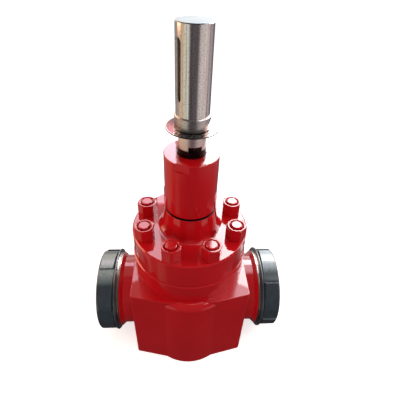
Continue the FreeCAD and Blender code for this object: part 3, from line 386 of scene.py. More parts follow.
# Seats and seals of the body. Turned steel seat rings, each with a moulded rubber ring round it, pressed
# into pockets on both sides of the gate, and the moulded rubber seal ring in each union end.
SEAT_STEEL = "#A8A6A2"
SEAT_STEEL_DARK = "#7F7C78"
RUBBER_BLACK = "#1B1A1A"
RUBBER_BLOOM = "#2E2C2B"
MARK_LENGTH_MM = 40
TURNED_EDGE = 0.0006
ALONG_X, ALONG_Z = 0, 2


def lathe_turned(name, colour, dark, axis, roughness, groove_mm):
    """Turned steel: fine tool marks round the axis, which draw the highlights out along it. The marks are
    drawn 0.3 to 0.8 mm apart, coarser than they are, so that they show. Returns the material, its tree,
    its shader and its colour."""
    made, tree, shader = new_material(name, colour, roughness, metallic=1.0)
    place = add(tree, "TexCoord").outputs["Object"]
    stretch = [per_metre(MARK_LENGTH_MM)] * 3
    stretch[axis] = per_metre(groove_mm)
    drawn = add(tree, "Mapping", {"Vector": place, "Scale": stretch}).outputs[0]
    marks = add(tree, "TexNoise", {"Vector": drawn, "Scale": 1.0, "Detail": 3.0}).outputs["Fac"]
    shade = add(tree, "ValToRGB", {"Fac": marks}, stops=[(0.25, dark), (0.6, colour)]).outputs["Color"]
    spread = add(tree, "MapRange", {"Value": marks, "To Min": roughness * 0.7, "To Max": roughness * 1.4})
    rounded = add(tree, "Bevel", {"Radius": TURNED_EDGE}, samples=4).outputs[0]
    dent = add(tree, "Bump", {"Strength": 0.15, "Distance": 0.00005, "Height": marks, "Normal": rounded})
    tree.links.new(shade, shader.inputs["Base Color"])
    tree.links.new(spread.outputs[0], shader.inputs["Roughness"])
    tree.links.new(dent.outputs[0], shader.inputs["Normal"])
    return made, tree, shader, shade


seat_steel = lathe_turned(
    "turned_seat_steel", SEAT_STEEL, SEAT_STEEL_DARK, ALONG_X, roughness=0.28, groove_mm=0.6
)[0]
dress(seat_steel, "seat_ring_left", "seat_ring_right")

# Nitrile rubber from a polished mould: near black and dull, with a grey bloom and a faint flow texture.
black_rubber, tree, shader = new_material("moulded_nitrile_rubber", RUBBER_BLACK, roughness=0.55)
place = add(tree, "TexCoord").outputs["Object"]
dust = add(tree, "TexNoise", {"Vector": place, "Scale": per_metre(9), "Detail": 5.0})
shade = add(tree, "ValToRGB", {"Fac": dust.outputs["Fac"]}, stops=[(0.4, RUBBER_BLACK), (0.75, RUBBER_BLOOM)])
fine = add(tree, "TexNoise", {"Vector": place, "Scale": per_metre(0.8), "Detail": 2.0})
dent = add(tree, "Bump", {"Strength": 0.2, "Distance": 0.0001, "Height": fine.outputs["Fac"]})
tree.links.new(shade.outputs["Color"], shader.inputs["Base Color"])
tree.links.new(dent.outputs[0], shader.inputs["Normal"])
dress(black_rubber, "seat_seal_left", "seat_seal_right", "union_seal_left", "union_seal_right")
dress(black_rubber, "bonnet_seal_ring", "housing_seal")


# Gate. A slab of alloy steel with a round bottom, ground flat on both faces, and dull grey where the seats
# rub it. It hangs on the stem's head by a slot milled in its top.
GATE_STEEL = "#8E8C88"

# Ground steel: fine straight lines and a dull grey shine. The lines are drawn 0.5 mm apart, coarser than
# they are, so that they show.
gate_steel, tree, shader = new_material(
    "surface_ground_alloy_steel", GATE_STEEL, roughness=0.33, metallic=1.0
)
place = add(tree, "TexCoord").outputs["Object"]
drawn = add(tree, "Mapping", {"Vector": place, "Scale": (per_metre(30), per_metre(0.5), per_metre(25))})
lines = add(tree, "TexNoise", {"Vector": drawn.outputs[0], "Scale": 1.0, "Detail": 4.0}).outputs["Fac"]
shade = add(tree, "ValToRGB", {"Fac": lines}, stops=[(0.3, "#6F6C68"), (0.65, "#9C9A95")])
dent = add(tree, "Bump", {"Strength": 0.2, "Distance": 0.00005, "Height": lines})
tree.links.new(shade.outputs["Color"], shader.inputs["Base Color"])
tree.links.new(dent.outputs[0], shader.inputs["Normal"])
dress(gate_steel, "gate")


# Stem. Ground bright bar with a forged T-head that hangs in the gate, and a left-hand screw of 6.35 mm
# pitch cut above the length that runs in the packing.
STEM_R = 0.018
STEM_NECK_R = 0.0115
STEM_NECK_FOOT = 0.004
STEM_NECK_TOP = 0.0274
STEM_HEAD = (0.016, 0.0195, 0.014)
STEM_HEAD_EDGE = 0.001
STEM_CONE_HEIGHT = 0.0065
STEM_CONE_EDGE_IN = 0.0006
STEM_CONE_EDGE_DOWN = 0.0007
STEM_EDGE = 0.0014
STEM_TIP_EDGE = 0.0012
SCREW_CREST_R = 0.0159
SCREW_ROOT_R = 0.0128
SCREW_PITCH = 0.00635
SCREW_START = 0.2038
SCREW_RELIEF = 0.003
SCREW_MARGIN = 0.004
GREASE_EDGE = 0.001
LEFT_HAND, RIGHT_HAND = -1, 1
TURN_STEPS = 56
RIDGE_FOOT_SHARE = 0.42
RIDGE_CREST_SHARE = 0.18
RIDGE_SUNK = 0.0003
RUN_OUT_TURNS = 0.25
BRIGHT_STEEL = "#C4C2BD"
BRIGHT_STEEL_DARK = "#8F8C86"


def lathe(bm, profile):
    """Turns a profile of (radius, height) points about Z into a closed skin, from the axis to the axis."""
    rings = []
    for radius, height in profile:
        if radius == 0:
            rings.append([bm.verts.new((0, 0, height))])
            continue
        angles = [2 * math.pi * k / TURN_STEPS for k in range(TURN_STEPS)]
        rings.append([bm.verts.new((radius * math.cos(a), radius * math.sin(a), height)) for a in angles])
    for lower, upper in zip(rings, rings[1:]):
        for k in range(TURN_STEPS):
            here, there = k, k + 1
            corners = [lower[here % len(lower)], lower[there % len(lower)]]
            corners += [upper[there % len(upper)], upper[here % len(upper)]]
            bm.faces.new(list(dict.fromkeys(corners)))


def helical_ridge(bm, root_r, crest_r, pitch, start, end, hand, steps=TURN_STEPS):
    """One thread: a sloping ridge wound about Z, which rises out of its bar and sinks back into it."""
    count = int((end - start) / pitch * steps)
    run_out = steps * RUN_OUT_TURNS
    foot_half = RIDGE_FOOT_SHARE * pitch
    crest_half = RIDGE_CREST_SHARE * pitch
    sunk_r = root_r - RIDGE_SUNK
    sections = []
    for k in range(count + 1):
        angle = hand * 2 * math.pi * k / steps
        height = start + pitch * k / steps
        grown = min(1.0, k / run_out, (count - k) / run_out)
        top_r = root_r + (crest_r - root_r) * grown
        corners = [(sunk_r, -foot_half), (top_r, -crest_half), (top_r, crest_half), (sunk_r, foot_half)]
        across = (math.cos(angle), math.sin(angle))
        sections.append([bm.verts.new((r * across[0], r * across[1], height + rise)) for r, rise in corners])
    for before, after in zip(sections, sections[1:]):
        for k in range(4):
            n = (k + 1) % 4
            bm.faces.new((before[k], before[n], after[n], after[k]))
    bm.faces.new(sections[0])
    bm.faces.new(sections[-1])


# Ground bar: bright, with long clean highlights up to the screw, which is buttered with brown grease.
low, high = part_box("stem")
screw_foot = low.z + SCREW_START
stem_steel, tree, shader, marks = lathe_turned(
    "ground_bright_stem_bar", BRIGHT_STEEL, BRIGHT_STEEL_DARK, ALONG_Z, roughness=0.2, groove_mm=0.4
)
place = add(tree, "TexCoord").outputs["Object"]
smears = add(tree, "TexNoise", {"Vector": place, "Scale": per_metre(3), "Detail": 6.0, "Roughness": 0.7})
grease = add(tree, "ValToRGB", {"Fac": smears.outputs["Fac"]}, stops=[(0.35, "#8C7A68"), (0.65, "#C2AE9A")])
height = add(tree, "SeparateXYZ", {0: place}).outputs["Z"]
limits = {"Value": height, "From Min": screw_foot - GREASE_EDGE, "From Max": screw_foot}
greased = add(tree, "MapRange", limits)
layers = {SHARE: greased.outputs[0], UNDER: marks, OVER: grease.outputs["Color"]}
colour = add(tree, "Mix", layers, data_type="RGBA")
metal = add(tree, "MapRange", {"Value": greased.outputs[0], "To Min": 1.0, "To Max": 0.0})
tree.links.new(colour.outputs[MIXED], shader.inputs["Base Color"])
tree.links.new(metal.outputs[0], shader.inputs["Metallic"])

bm = bmesh.new()
half_x, half_y, head_height = STEM_HEAD
bmesh.ops.create_cube(bm, size=1.0)
for corner in bm.verts:
    rise = (corner.co.z + 0.5) * head_height
    corner.co = Vector((corner.co.x * 2 * half_x, corner.co.y * 2 * half_y, low.z + rise))
bmesh.ops.bevel(bm, geom=list(bm.edges), offset=STEM_HEAD_EDGE, segments=2, affect="EDGES")
neck_foot = low.z + STEM_NECK_FOOT
shoulder = low.z + STEM_NECK_TOP
cone_top = shoulder + STEM_CONE_HEIGHT
lathe(
    bm,
    [
        (0, neck_foot),
        (STEM_NECK_R, neck_foot),
        (STEM_NECK_R, shoulder),
        (STEM_R - STEM_CONE_EDGE_IN, cone_top - STEM_CONE_EDGE_DOWN),
        (STEM_R, cone_top),
        (STEM_R, screw_foot - STEM_EDGE),
        (STEM_R - STEM_EDGE, screw_foot),
        (SCREW_ROOT_R, screw_foot + SCREW_RELIEF),
        (SCREW_ROOT_R, high.z - STEM_TIP_EDGE),
        (SCREW_ROOT_R - STEM_TIP_EDGE, high.z),
        (0, high.z),
    ],
)
screw_from, screw_to = screw_foot + SCREW_MARGIN, high.z - SCREW_MARGIN
helical_ridge(bm, SCREW_ROOT_R, SCREW_CREST_R, SCREW_PITCH, screw_from, screw_to, LEFT_HAND)
stem = piece_from("stem_with_left_hand_screw", bm, stem_steel, "rising_stem")
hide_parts("stem")


# Union threads. Round threads cut on both hub ends for the wing nuts of hammer unions. Their pitch is
# drawn at 4 mm with a plain ridge, so that each turn shows under the protectors' lips.
UNION_ROOT_R = 0.0858
UNION_CREST_R = 0.08695
UNION_PITCH = 0.0040
UNION_FROM, UNION_TO = 0.1592, 0.1975
UNION_STEPS = 128
UNION_STEEL = "#F0ECE4"
UNION_STEEL_DARK = "#D2CBC0"
OLD_GREASE = "#4B3B2E"

# Freshly cut steel: bright on the crests, with old brown grease left in patches.
union_steel, tree, shader, marks = lathe_turned(
    "cut_union_thread_steel", UNION_STEEL, UNION_STEEL_DARK, ALONG_X, roughness=0.24, groove_mm=0.4
)
place = add(tree, "TexCoord").outputs["Object"]
grease = add(tree, "TexNoise", {"Vector": place, "Scale": per_metre(7), "Detail": 5.0}).outputs["Fac"]
greasy = add(tree, "MapRange", {"Value": grease, "From Min": 0.60, "From Max": 0.72})
layers = {SHARE: greasy.outputs[0], UNDER: marks, OVER: linear(OLD_GREASE)}
colour = add(tree, "Mix", layers, data_type="RGBA")
tree.links.new(colour.outputs[MIXED], shader.inputs["Base Color"])

low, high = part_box("union_seal_left")
flow_height = (low.z + high.z) / 2
for side, facing in (("left", -1), ("right", 1)):
    bm = bmesh.new()
    helical_ridge(
        bm, UNION_ROOT_R, UNION_CREST_R, UNION_PITCH, UNION_FROM, UNION_TO, RIGHT_HAND, steps=UNION_STEPS
    )
    laid_down = Matrix.Rotation(facing * math.radians(90), 4, "Y")
    to_flow = Matrix.Translation((0, 0, flow_height)) @ laid_down
    bmesh.ops.transform(bm, matrix=to_flow, verts=bm.verts)
    piece_from("union_thread_" + side, bm, union_steel, "valve")


# Bonnet. A thick round flange with a tapered neck, one steel casting, machined all over and sprayed with
# the same enamel as the body. The neck above the cone carries the housing's thread and was never painted.
# Above a height just under the cone's top it is painted black: painted shade in the gap under the housing.
NECK_FROM = 0.3706
NECK_PAINT_EDGE = 0.0004
# The black of the painted shade in the gap between the bonnet and the housing.
GAP_SHADE_BLACK = "#120C0B"
UP, DOWN = 1, -1


def black_shade_past(tree, shader, red, level, direction):
    """Painted shade: black in place of enamel beyond a height, in the gap between bonnet and housing."""
    height = add(tree, "SeparateXYZ", {0: add(tree, "TexCoord").outputs["Object"]}).outputs["Z"]
    full = level + direction * NECK_PAINT_EDGE
    bare = add(tree, "MapRange", {"Value": height, "From Min": level, "From Max": full}).outputs[0]
    colour = add(tree, "Mix", {SHARE: bare, UNDER: red, OVER: linear(GAP_SHADE_BLACK)}, data_type="RGBA")
    coat = add(tree, "MapRange", {"Value": bare, "To Min": 1.0, "To Max": 0.0})
    tree.links.new(colour.outputs[MIXED], shader.inputs["Base Color"])
    tree.links.new(coat.outputs[0], shader.inputs["Coat Weight"])


bonnet_enamel, tree, shader, red = enamel("red_enamel_on_turned_steel_bonnet", edge_mm=0.9)
black_shade_past(tree, shader, red, NECK_FROM, UP)
dress(bonnet_enamel, "bonnet")


# Bonnet bolting. Eight steel studs with heavy hexagon nuts, each with a bevelled crown and a cupped top.
# They were sprayed over when the valve was painted, so the enamel fills the threads and rounds the
# corners. Each nut stopped at its own angle.
STUD_COUNT = 8
STUD_CIRCLE_R = 0.099
NUT_ACROSS_FLATS = 0.0365
NUT_CORNER_R = 0.0206
NUT_HOLE_R = 0.0113
NUT_CUP_R = 0.0155
NUT_CUP_DEPTH = 0.0040
NUT_CROWN_R = 0.0176
NUT_CROWN_DEGREES = 30
NUT_FOOT_EDGE = 0.0004
NUT_TURNS = (18.0, 33.0, 50.0, 7.0, 20.0, 32.0, 12.0, 46.0)
NUT_STEPS = 72
HEXAGON_DEGREES = 60


def painted_nut(bm, centre, turn_degrees, foot, head):
    """A hexagon nut with a bevelled crown and a cupped top, as a closed ring of sections round its stud."""
    sections = []
    for k in range(NUT_STEPS):
        local = 360.0 * k / NUT_STEPS
        off_flat = math.radians(local % HEXAGON_DEGREES - HEXAGON_DEGREES / 2)
        outer = min(NUT_ACROSS_FLATS / 2 / math.cos(off_flat), NUT_CORNER_R)
        brow = head - (outer - NUT_CROWN_R) * math.tan(math.radians(NUT_CROWN_DEGREES))
        profile = [
            (NUT_HOLE_R, foot),
            (outer - NUT_FOOT_EDGE, foot),
            (outer, foot + NUT_FOOT_EDGE),
            (outer, brow),
            (NUT_CROWN_R, head),
            (NUT_CUP_R, head),
            (NUT_HOLE_R, head - NUT_CUP_DEPTH),
        ]
        angle = math.radians(local + turn_degrees)
        across = Vector((math.cos(angle), math.sin(angle), 0))
        sections.append([bm.verts.new(centre + across * r + Vector((0, 0, z))) for r, z in profile])
    for k in range(NUT_STEPS):
        here, there = sections[k], sections[(k + 1) % NUT_STEPS]
        for m in range(len(here)):
            n = (m + 1) % len(here)
            bm.faces.new((here[m], there[m], there[n], here[n]))


bolting_enamel = enamel("thick_red_enamel_on_bolting", edge_mm=0.7)[0]
dress(bolting_enamel, "bonnet_studs", "bonnet_nuts")
low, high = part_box("bonnet_nuts")
bm = bmesh.new()
for number, turn_degrees in enumerate(NUT_TURNS):
    angle = math.radians((number + 0.5) * 360 / STUD_COUNT)
    centre = Vector((STUD_CIRCLE_R * math.cos(angle), STUD_CIRCLE_R * math.sin(angle), 0))
    painted_nut(bm, centre, turn_degrees, low.z, high.z)
nuts = piece_from("cupped_bonnet_nuts", bm, bolting_enamel, "valve")
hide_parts("bonnet_nuts")


# Packing. Five vee rings moulded of rubber and cotton cloth, between two turned bronze rings. A steel
# gland, screwed in from above, presses them down on the stem.
PACKING_BROWN = "#3A2C22"
BRONZE = "#B08D57"
BRONZE_DARK = "#7E5F33"
GLAND_STEEL = "#A19C95"
GLAND_STEEL_DARK = "#6C6862"
WEAVE_MM = 2.74
# A wave of scale 1 draws its slanting bands this many metres apart.
SLANTING_WAVE = 2 * math.pi / 10 / math.sqrt(3)

# Cloth-filled rubber: dull brown, with the cloth showing as slanting bands. They are drawn 2.74 mm apart,
# coarser than they are, so that they show.
packing, tree, shader = new_material("fabric_filled_packing_rubber", PACKING_BROWN, roughness=0.6)
place = add(tree, "TexCoord").outputs["Object"]
cloth = {"Vector": place, "Scale": per_metre(WEAVE_MM) * SLANTING_WAVE, "Distortion": 1.5}
weave = add(tree, "TexWave", cloth, bands_direction="DIAGONAL")
shade = add(tree, "ValToRGB", {"Fac": weave.outputs["Fac"]}, stops=[(0.2, "#2A1F18"), (0.8, "#4A382B")])
tree.links.new(shade.outputs["Color"], shader.inputs["Base Color"])
dress(packing, "packing_rings")

# Cast bronze, turned: warm yellow with dark tool marks. The gland's plain steel is greyer.
bronze = lathe_turned("turned_cast_bronze", BRONZE, BRONZE_DARK, ALONG_Z, roughness=0.3, groove_mm=0.5)[0]
dress(bronze, "packing_bottom_ring", "packing_top_ring", "lower_cage", "upper_cage")
gland_steel = lathe_turned(
    "turned_gland_steel", GLAND_STEEL, GLAND_STEEL_DARK, ALONG_Z, roughness=0.3, groove_mm=0.5
)[0]
dress(gland_steel, "packing_gland")


# Roller thrust bearings. Hardened steel races and rollers, ground and lapped, in the bronze cages that
# the packing's section dresses. One carries the stem nut's flange and one holds it down.
RACE_STEEL = "#BDBDBE"
RACE_STEEL_DARK = "#9A9A9C"

# Lapped steel: nearly a mirror, cold and even.
race_steel = lathe_turned(
    "ground_and_lapped_bearing_steel", RACE_STEEL, RACE_STEEL_DARK, ALONG_Z, roughness=0.12, groove_mm=0.3
)[0]
dress(race_steel, "lower_race_fixed", "lower_race_turning", "lower_rollers")
dress(race_steel, "upper_race_fixed", "upper_race_turning", "upper_rollers")


# Bearing housing. A plain turned steel cylinder screwed over the bonnet's neck, with two wrench flats
# milled at its top. It was sprayed with the enamel after it was fitted. Its foot is painted black: painted
# shade in the gap over the bonnet.
# Below this height the housing is painted black, as shade in the gap over the bonnet.
HOUSING_FOOT = 0.3760

housing_enamel, tree, shader, red = enamel("red_enamel_on_turned_housing", edge_mm=0.8)
black_shade_past(tree, shader, red, HOUSING_FOOT, DOWN)
dress(housing_enamel, "bearing_housing")


# Stem nut. Alloy steel, turned, with dogs milled in its shoulder, and blackened in hot oil. Its flange
# runs between the two bearings.
BLACKENED = "#2A2523"
BLACKENED_DARK = "#141110"
RUBBED_BROWN = "#5C4A48"

# Oil-blackened steel: near black and satin, rubbed brown where hands and tools reach it.
blackened, tree, shader, marks = lathe_turned(
    "oil_blackened_steel", BLACKENED, BLACKENED_DARK, ALONG_Z, roughness=0.34, groove_mm=0.5
)
place = add(tree, "TexCoord").outputs["Object"]
wear = add(tree, "TexNoise", {"Vector": place, "Scale": per_metre(6), "Detail": 6.0, "Roughness": 0.65})
rubbed = add(tree, "MapRange", {"Value": wear.outputs["Fac"], "From Min": 0.52, "From Max": 0.68})
layers = {SHARE: rubbed.outputs[0], UNDER: marks, OVER: linear(RUBBED_BROWN)}
colour = add(tree, "Mix", layers, data_type="RGBA")
tree.links.new(colour.outputs[MIXED], shader.inputs["Base Color"])
dress(blackened, "stem_nut")


# Drive bush. A turned steel sleeve, zinc plated, notched at its foot over the dogs of the stem nut. The
# handwheel's hub is put over it.
BUSH_ZINC = "#EFE3DE"
BUSH_ZINC_DARK = "#CFC2BC"

# Satin zinc: pale and soft, without a clear reflection.
bush_zinc = lathe_turned(
    "satin_zinc_plated_steel", BUSH_ZINC, BUSH_ZINC_DARK, ALONG_Z, roughness=0.38, groove_mm=0.7
)[0]
dress(bush_zinc, "drive_bush")


# Clamp washer. A thin wide disc of bright steel, ground flat, that the collar presses on the handwheel's
# hub. In front it is painted black by the collar and in specks, as shade and dark reflection, and its
# left side carries a painted red reflection of the housing.
SHADE_HUB_R = 0.0330
SHADE_HUB_EDGE = 0.001
SHADE_REACH_R = 0.0440
SHADE_REACH_EDGE = 0.0006
SHADE_FRONT_Y = -0.010
SHADE_FADE_Y = -0.018
RED_REFLECTION_X = -0.0360
RED_REFLECTION_FULL_X = -0.0380
RED_REFLECTION_R = 0.0446
RED_REFLECTION_EDGE = 0.0004
RED_REFLECTION_RAGGED = -0.014
RIM_R = 0.0450
RIM_EDGE = 0.0002
WASHER_STEEL = "#DDDBD8"
WASHER_STEEL_DARK = "#BDBAB5"
PAINTED_SHADE_BLACK = "#0C0A0A"
RIM_SHADE_GREY = "#303034"

# Ground steel: a mirror that is white under the sky, with painted black shade and reflection in front,
# a painted red reflection of the housing on the left that the steel shines through, and a rim painted
# grey as a shaded edge. The specks are drawn 2.2 mm wide, coarser than they are, so that they show.
washer_steel, tree, shader, marks = lathe_turned(
    "ground_washer_steel", WASHER_STEEL, WASHER_STEEL_DARK, ALONG_Z, roughness=0.10, groove_mm=0.8
)
place = add(tree, "TexCoord").outputs["Object"]
axes = add(tree, "SeparateXYZ", {0: place}).outputs
cross = add(tree, "VectorMath", {0: place, 1: (1, 1, 0)}, operation="MULTIPLY")
radius = add(tree, "VectorMath", {0: cross.outputs[0]}, operation="LENGTH").outputs["Value"]
mottle = {"Vector": place, "Scale": per_metre(2.2), "Detail": 4.0, "Roughness": 0.8}
specks = add(tree, "TexNoise", mottle).outputs["Fac"]
# Painted shade and reflection: black by the collar and in dark specks over the front of the washer.
dark_specks = add(tree, "MapRange", {"Value": specks, "From Min": 0.46, "From Max": 0.50})
limits = {"Value": radius, "From Min": SHADE_HUB_R, "From Max": SHADE_HUB_R - SHADE_HUB_EDGE}
near_hub = add(tree, "MapRange", limits)
painted_dark = add(tree, "Math", {0: dark_specks.outputs[0], 1: near_hub.outputs[0]}, operation="MAXIMUM")
limits = {
    "Value": radius,
    "From Min": SHADE_REACH_R + SHADE_REACH_EDGE,
    "From Max": SHADE_REACH_R - SHADE_REACH_EDGE,
}
reach = add(tree, "MapRange", limits)
front = add(tree, "MapRange", {"Value": axes["Y"], "From Min": SHADE_FRONT_Y, "From Max": SHADE_FADE_Y})
shaded_front = add(tree, "Math", {0: painted_dark.outputs[0], 1: reach.outputs[0]}, operation="MULTIPLY")
shaded_front = add(tree, "Math", {0: shaded_front.outputs[0], 1: front.outputs[0]}, operation="MULTIPLY")
layers = {SHARE: shaded_front.outputs[0], UNDER: marks, OVER: linear(PAINTED_SHADE_BLACK)}
colour = add(tree, "Mix", layers, data_type="RGBA").outputs[MIXED]
# Painted reflection: the red housing mirrored on the washer's left side, ragged at its edge.
painted_red_reflection = [(0.35, "#3C0402"), (0.50, "#520D04"), (0.66, "#6E4234")]
red_reflection = add(tree, "ValToRGB", {"Fac": specks}, stops=painted_red_reflection).outputs["Color"]
ragged = add(tree, "Math", {0: specks, 1: RED_REFLECTION_RAGGED, 2: axes["X"]}, operation="MULTIPLY_ADD").outputs[0]
sprayed = add(tree, "MapRange", {"Value": ragged, "From Min": RED_REFLECTION_X, "From Max": RED_REFLECTION_FULL_X})
limits = {"Value": radius, "From Min": RED_REFLECTION_R + RED_REFLECTION_EDGE, "From Max": RED_REFLECTION_R - RED_REFLECTION_EDGE}
inner = add(tree, "MapRange", limits)
red_reflection_share = add(tree, "Math", {0: sprayed.outputs[0], 1: inner.outputs[0]}, operation="MULTIPLY")
layers = {SHARE: red_reflection_share.outputs[0], UNDER: colour, OVER: red_reflection}
colour = add(tree, "Mix", layers, data_type="RGBA").outputs[MIXED]
# Painted shade: a thin grey band at the rim, as the dark edge line of the disc.
shaded_rim = add(tree, "MapRange", {"Value": radius, "From Min": RIM_R - RIM_EDGE, "From Max": RIM_R})
colour = add(tree, "Mix", {SHARE: shaded_rim.outputs[0], UNDER: colour, OVER: linear(RIM_SHADE_GREY)}, data_type="RGBA")
tree.links.new(colour.outputs[MIXED], shader.inputs["Base Color"])
dress(washer_steel, "clamp_washer")


# Retaining collar. A round nut turned from steel bar, with a bevelled top, screwed on the spindle over the
# washer. The tube of the stem protector stands in it.
COLLAR_STEEL = "#C8C2BE"
COLLAR_STEEL_DARK = "#A69E9A"
COLLAR_SPOT = "#4A403E"


def spotted(tree, shader, colour, spot, spot_mm, low_edge, high_edge):
    """Oil and rust spots on bright steel, darker than the metal round them. Returns the new colour."""
    place = add(tree, "TexCoord").outputs["Object"]
    pattern = {"Vector": place, "Scale": per_metre(spot_mm), "Detail": 6.0, "Roughness": 0.7}
    spots = add(tree, "TexNoise", pattern)
    limits = {"Value": spots.outputs["Fac"], "From Min": low_edge, "From Max": high_edge}
    amount = add(tree, "MapRange", limits)
    mixed = add(tree, "Mix", {SHARE: amount.outputs[0], UNDER: colour, OVER: linear(spot)}, data_type="RGBA")
    tree.links.new(mixed.outputs[MIXED], shader.inputs["Base Color"])
    return mixed.outputs[MIXED]


# Turned steel: satin bright, with dark oil spots.
collar_steel, tree, shader, marks = lathe_turned(
    "turned_collar_steel", COLLAR_STEEL, COLLAR_STEEL_DARK, ALONG_Z, roughness=0.27, groove_mm=0.7
)
spotted(tree, shader, marks, COLLAR_SPOT, spot_mm=2.4, low_edge=0.58, high_edge=0.66)
dress(collar_steel, "retaining_collar")


# Stem protector and its lid. Polished stainless tube with a long milled slot, through which the stem's
# height is read, closed by a pressed-in lid. Handling has left specks of rust.
TUBE_R = 0.0289
TUBE_SKIN_FROM, TUBE_SKIN_TO = 0.0003, 0.0006
TUBE_STEEL = "#D6D1CA"
TUBE_SPOT = "#74665E"
TUBE_INSIDE_TOP = 0.6860
TUBE_INSIDE_EDGE = 0.001
CROWN_Z = 0.7006
CROWN_EDGE = 0.0003
CROWN_SHADE_GREY = "#83888A"
LID_STEEL = "#959C9F"
LID_STEEL_DARK = "#868D90"

# Polished stainless: near-mirror bands along the tube, faint draw lines and small brown specks. The top
# edge is painted grey, as the shaded line where the lid sits, and inside, the tube is painted pale and
# dull, as light that falls in through the slot. The lines are drawn 3 mm apart, coarser than they are, so
# that they show.
tube_steel, tree, shader = new_material("polished_stainless_tube", TUBE_STEEL, roughness=0.10, metallic=1.0)
place = add(tree, "TexCoord").outputs["Object"]
drawn = add(tree, "Mapping", {"Vector": place, "Scale": (per_metre(3), per_metre(3), per_metre(140))})
grain = {"Vector": drawn.outputs[0], "Scale": 1.0, "Detail": 4.0, "Roughness": 0.6}
streaks = add(tree, "TexNoise", grain).outputs["Fac"]
drawn_steel = [(0.3, "#B8B3AE"), (0.55, "#DAD6D2"), (0.75, "#E6E3E0")]
shade = add(tree, "ValToRGB", {"Fac": streaks}, stops=drawn_steel)
spread = add(tree, "MapRange", {"Value": streaks, "To Min": 0.07, "To Max": 0.19})
tree.links.new(spread.outputs[0], shader.inputs["Roughness"])
bright = shade.outputs["Color"]
speckled = spotted(tree, shader, bright, TUBE_SPOT, spot_mm=1.5, low_edge=0.55, high_edge=0.64)
height = add(tree, "SeparateXYZ", {0: place}).outputs["Z"]
# Painted shade: the top edge of the tube grey, as the dark line under the lid.
crown = add(tree, "MapRange", {"Value": height, "From Min": CROWN_Z, "From Max": CROWN_Z + CROWN_EDGE})
layers = {SHARE: crown.outputs[0], UNDER: speckled, OVER: linear(CROWN_SHADE_GREY)}
outside = add(tree, "Mix", layers, data_type="RGBA").outputs[MIXED]
cross = add(tree, "VectorMath", {0: place, 1: (1, 1, 0)}, operation="MULTIPLY")
radius = add(tree, "VectorMath", {0: cross.outputs[0]}, operation="LENGTH").outputs["Value"]
limits = {"Value": radius, "From Min": TUBE_R - TUBE_SKIN_FROM, "From Max": TUBE_R - TUBE_SKIN_TO}
within = add(tree, "MapRange", limits)
limits = {"Value": height, "From Min": TUBE_INSIDE_TOP + TUBE_INSIDE_EDGE, "From Max": TUBE_INSIDE_TOP}
below = add(tree, "MapRange", limits)
inside = add(tree, "Math", {0: within.outputs[0], 1: below.outputs[0]}, operation="MULTIPLY").outputs[0]
# Painted light: the inside of the tube pale and dull, mottled, as light falling in through the slot.
inside_mottle = add(tree, "TexNoise", {"Vector": place, "Scale": per_metre(2.5), "Detail": 6.0, "Roughness": 0.7})
scale = add(tree, "ValToRGB", {"Fac": inside_mottle.outputs["Fac"]}, stops=[(0.35, "#C9BAAC"), (0.6, "#F4ECE2")])
layers = {SHARE: inside, UNDER: outside, OVER: scale.outputs["Color"]}
colour = add(tree, "Mix", layers, data_type="RGBA")
metal = add(tree, "MapRange", {"Value": inside, "To Min": 1.0, "To Max": 0.0})
tree.links.new(colour.outputs[MIXED], shader.inputs["Base Color"])
tree.links.new(metal.outputs[0], shader.inputs["Metallic"])
dress(tube_steel, "stem_protector")

# Faced steel: an even cold grey that turns white under the sky.
lid_steel = lathe_turned(
    "faced_stainless_lid", LID_STEEL, LID_STEEL_DARK, ALONG_Z, roughness=0.12, groove_mm=0.4
)[0]
dress(lid_steel, "protector_lid")


# Thread protectors. Slate-coloured polyethylene caps, injection moulded, with a lip and six grip pads,
# screwed over the union threads for transport. What faces up is paler: stacking has scuffed it, the left
# more, and the paleness is also a painted sheen of the sky.
SLATE = "#333D44"
SLATE_DARK = "#2C353B"
SLATE_PALE = "#465058"
SLATE_SCUFF_AND_SHEEN = "#92A8A4"
PROTECTOR_EDGE = 0.0011


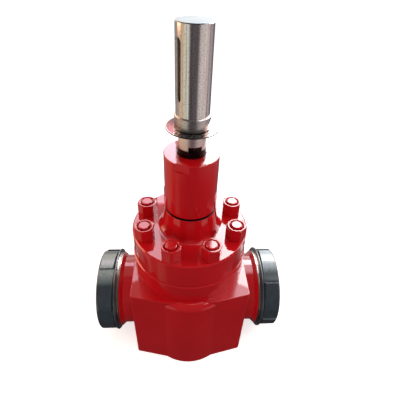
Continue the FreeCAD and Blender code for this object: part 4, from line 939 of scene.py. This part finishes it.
def moulded_slate(name, wear):
    """Slate polyethylene as moulded: dark and waxy, with a fine matt grain, and paler on what faces up:
    partly scuffs, partly a painted sheen of the sky.
    The grain is drawn 1 mm wide, coarser than it is, so that it shows."""
    made, tree, shader = new_material(name, SLATE, roughness=0.26, Coat_Weight=0.5, Coat_Roughness=0.16)
    place = add(tree, "TexCoord").outputs["Object"]
    scuffs = add(tree, "TexNoise", {"Vector": place, "Scale": per_metre(14), "Detail": 8.0, "Roughness": 0.7})
    slates = [(0.35, SLATE_DARK), (0.6, SLATE), (0.78, SLATE_PALE)]
    shade = add(tree, "ValToRGB", {"Fac": scuffs.outputs["Fac"]}, stops=slates)
    # Scuffs and painted sheen: paler where the surface faces up, up to the given amount.
    facing = add(tree, "SeparateXYZ", {0: add(tree, "NewGeometry").outputs["Normal"]}).outputs["Z"]
    top = add(tree, "MapRange", {"Value": facing, "From Min": 0.84, "From Max": 0.98, "To Max": wear})
    rubbed = add(tree, "TexNoise", {"Vector": place, "Scale": per_metre(3), "Detail": 6.0, "Roughness": 0.75})
    patchy = add(tree, "MapRange", {"Value": rubbed.outputs["Fac"], "From Min": 0.28, "From Max": 0.52})
    amount = add(tree, "Math", {0: top.outputs[0], 1: patchy.outputs[0]}, operation="MULTIPLY").outputs[0]
    layers = {SHARE: amount, UNDER: shade.outputs["Color"], OVER: linear(SLATE_SCUFF_AND_SHEEN)}
    colour = add(tree, "Mix", layers, data_type="RGBA")
    dull = add(tree, "MapRange", {"Value": amount, "To Min": 0.22, "To Max": 0.5})
    rounded = add(tree, "Bevel", {"Radius": PROTECTOR_EDGE}, samples=4).outputs[0]
    grain = add(tree, "TexNoise", {"Vector": place, "Scale": per_metre(1.0), "Detail": 2.0}).outputs["Fac"]
    dent = add(tree, "Bump", {"Strength": 0.12, "Distance": 0.0001, "Height": grain, "Normal": rounded})
    tree.links.new(colour.outputs[MIXED], shader.inputs["Base Color"])
    tree.links.new(dull.outputs[0], shader.inputs["Roughness"])
    tree.links.new(dent.outputs[0], shader.inputs["Normal"])
    tree.links.new(rounded, shader.inputs["Coat Normal"])
    return made


dress(moulded_slate("scuffed_and_sheened_moulded_polyethylene", wear=0.9), "thread_protector_left")
dress(moulded_slate("moulded_polyethylene", wear=0.30), "thread_protector_right")
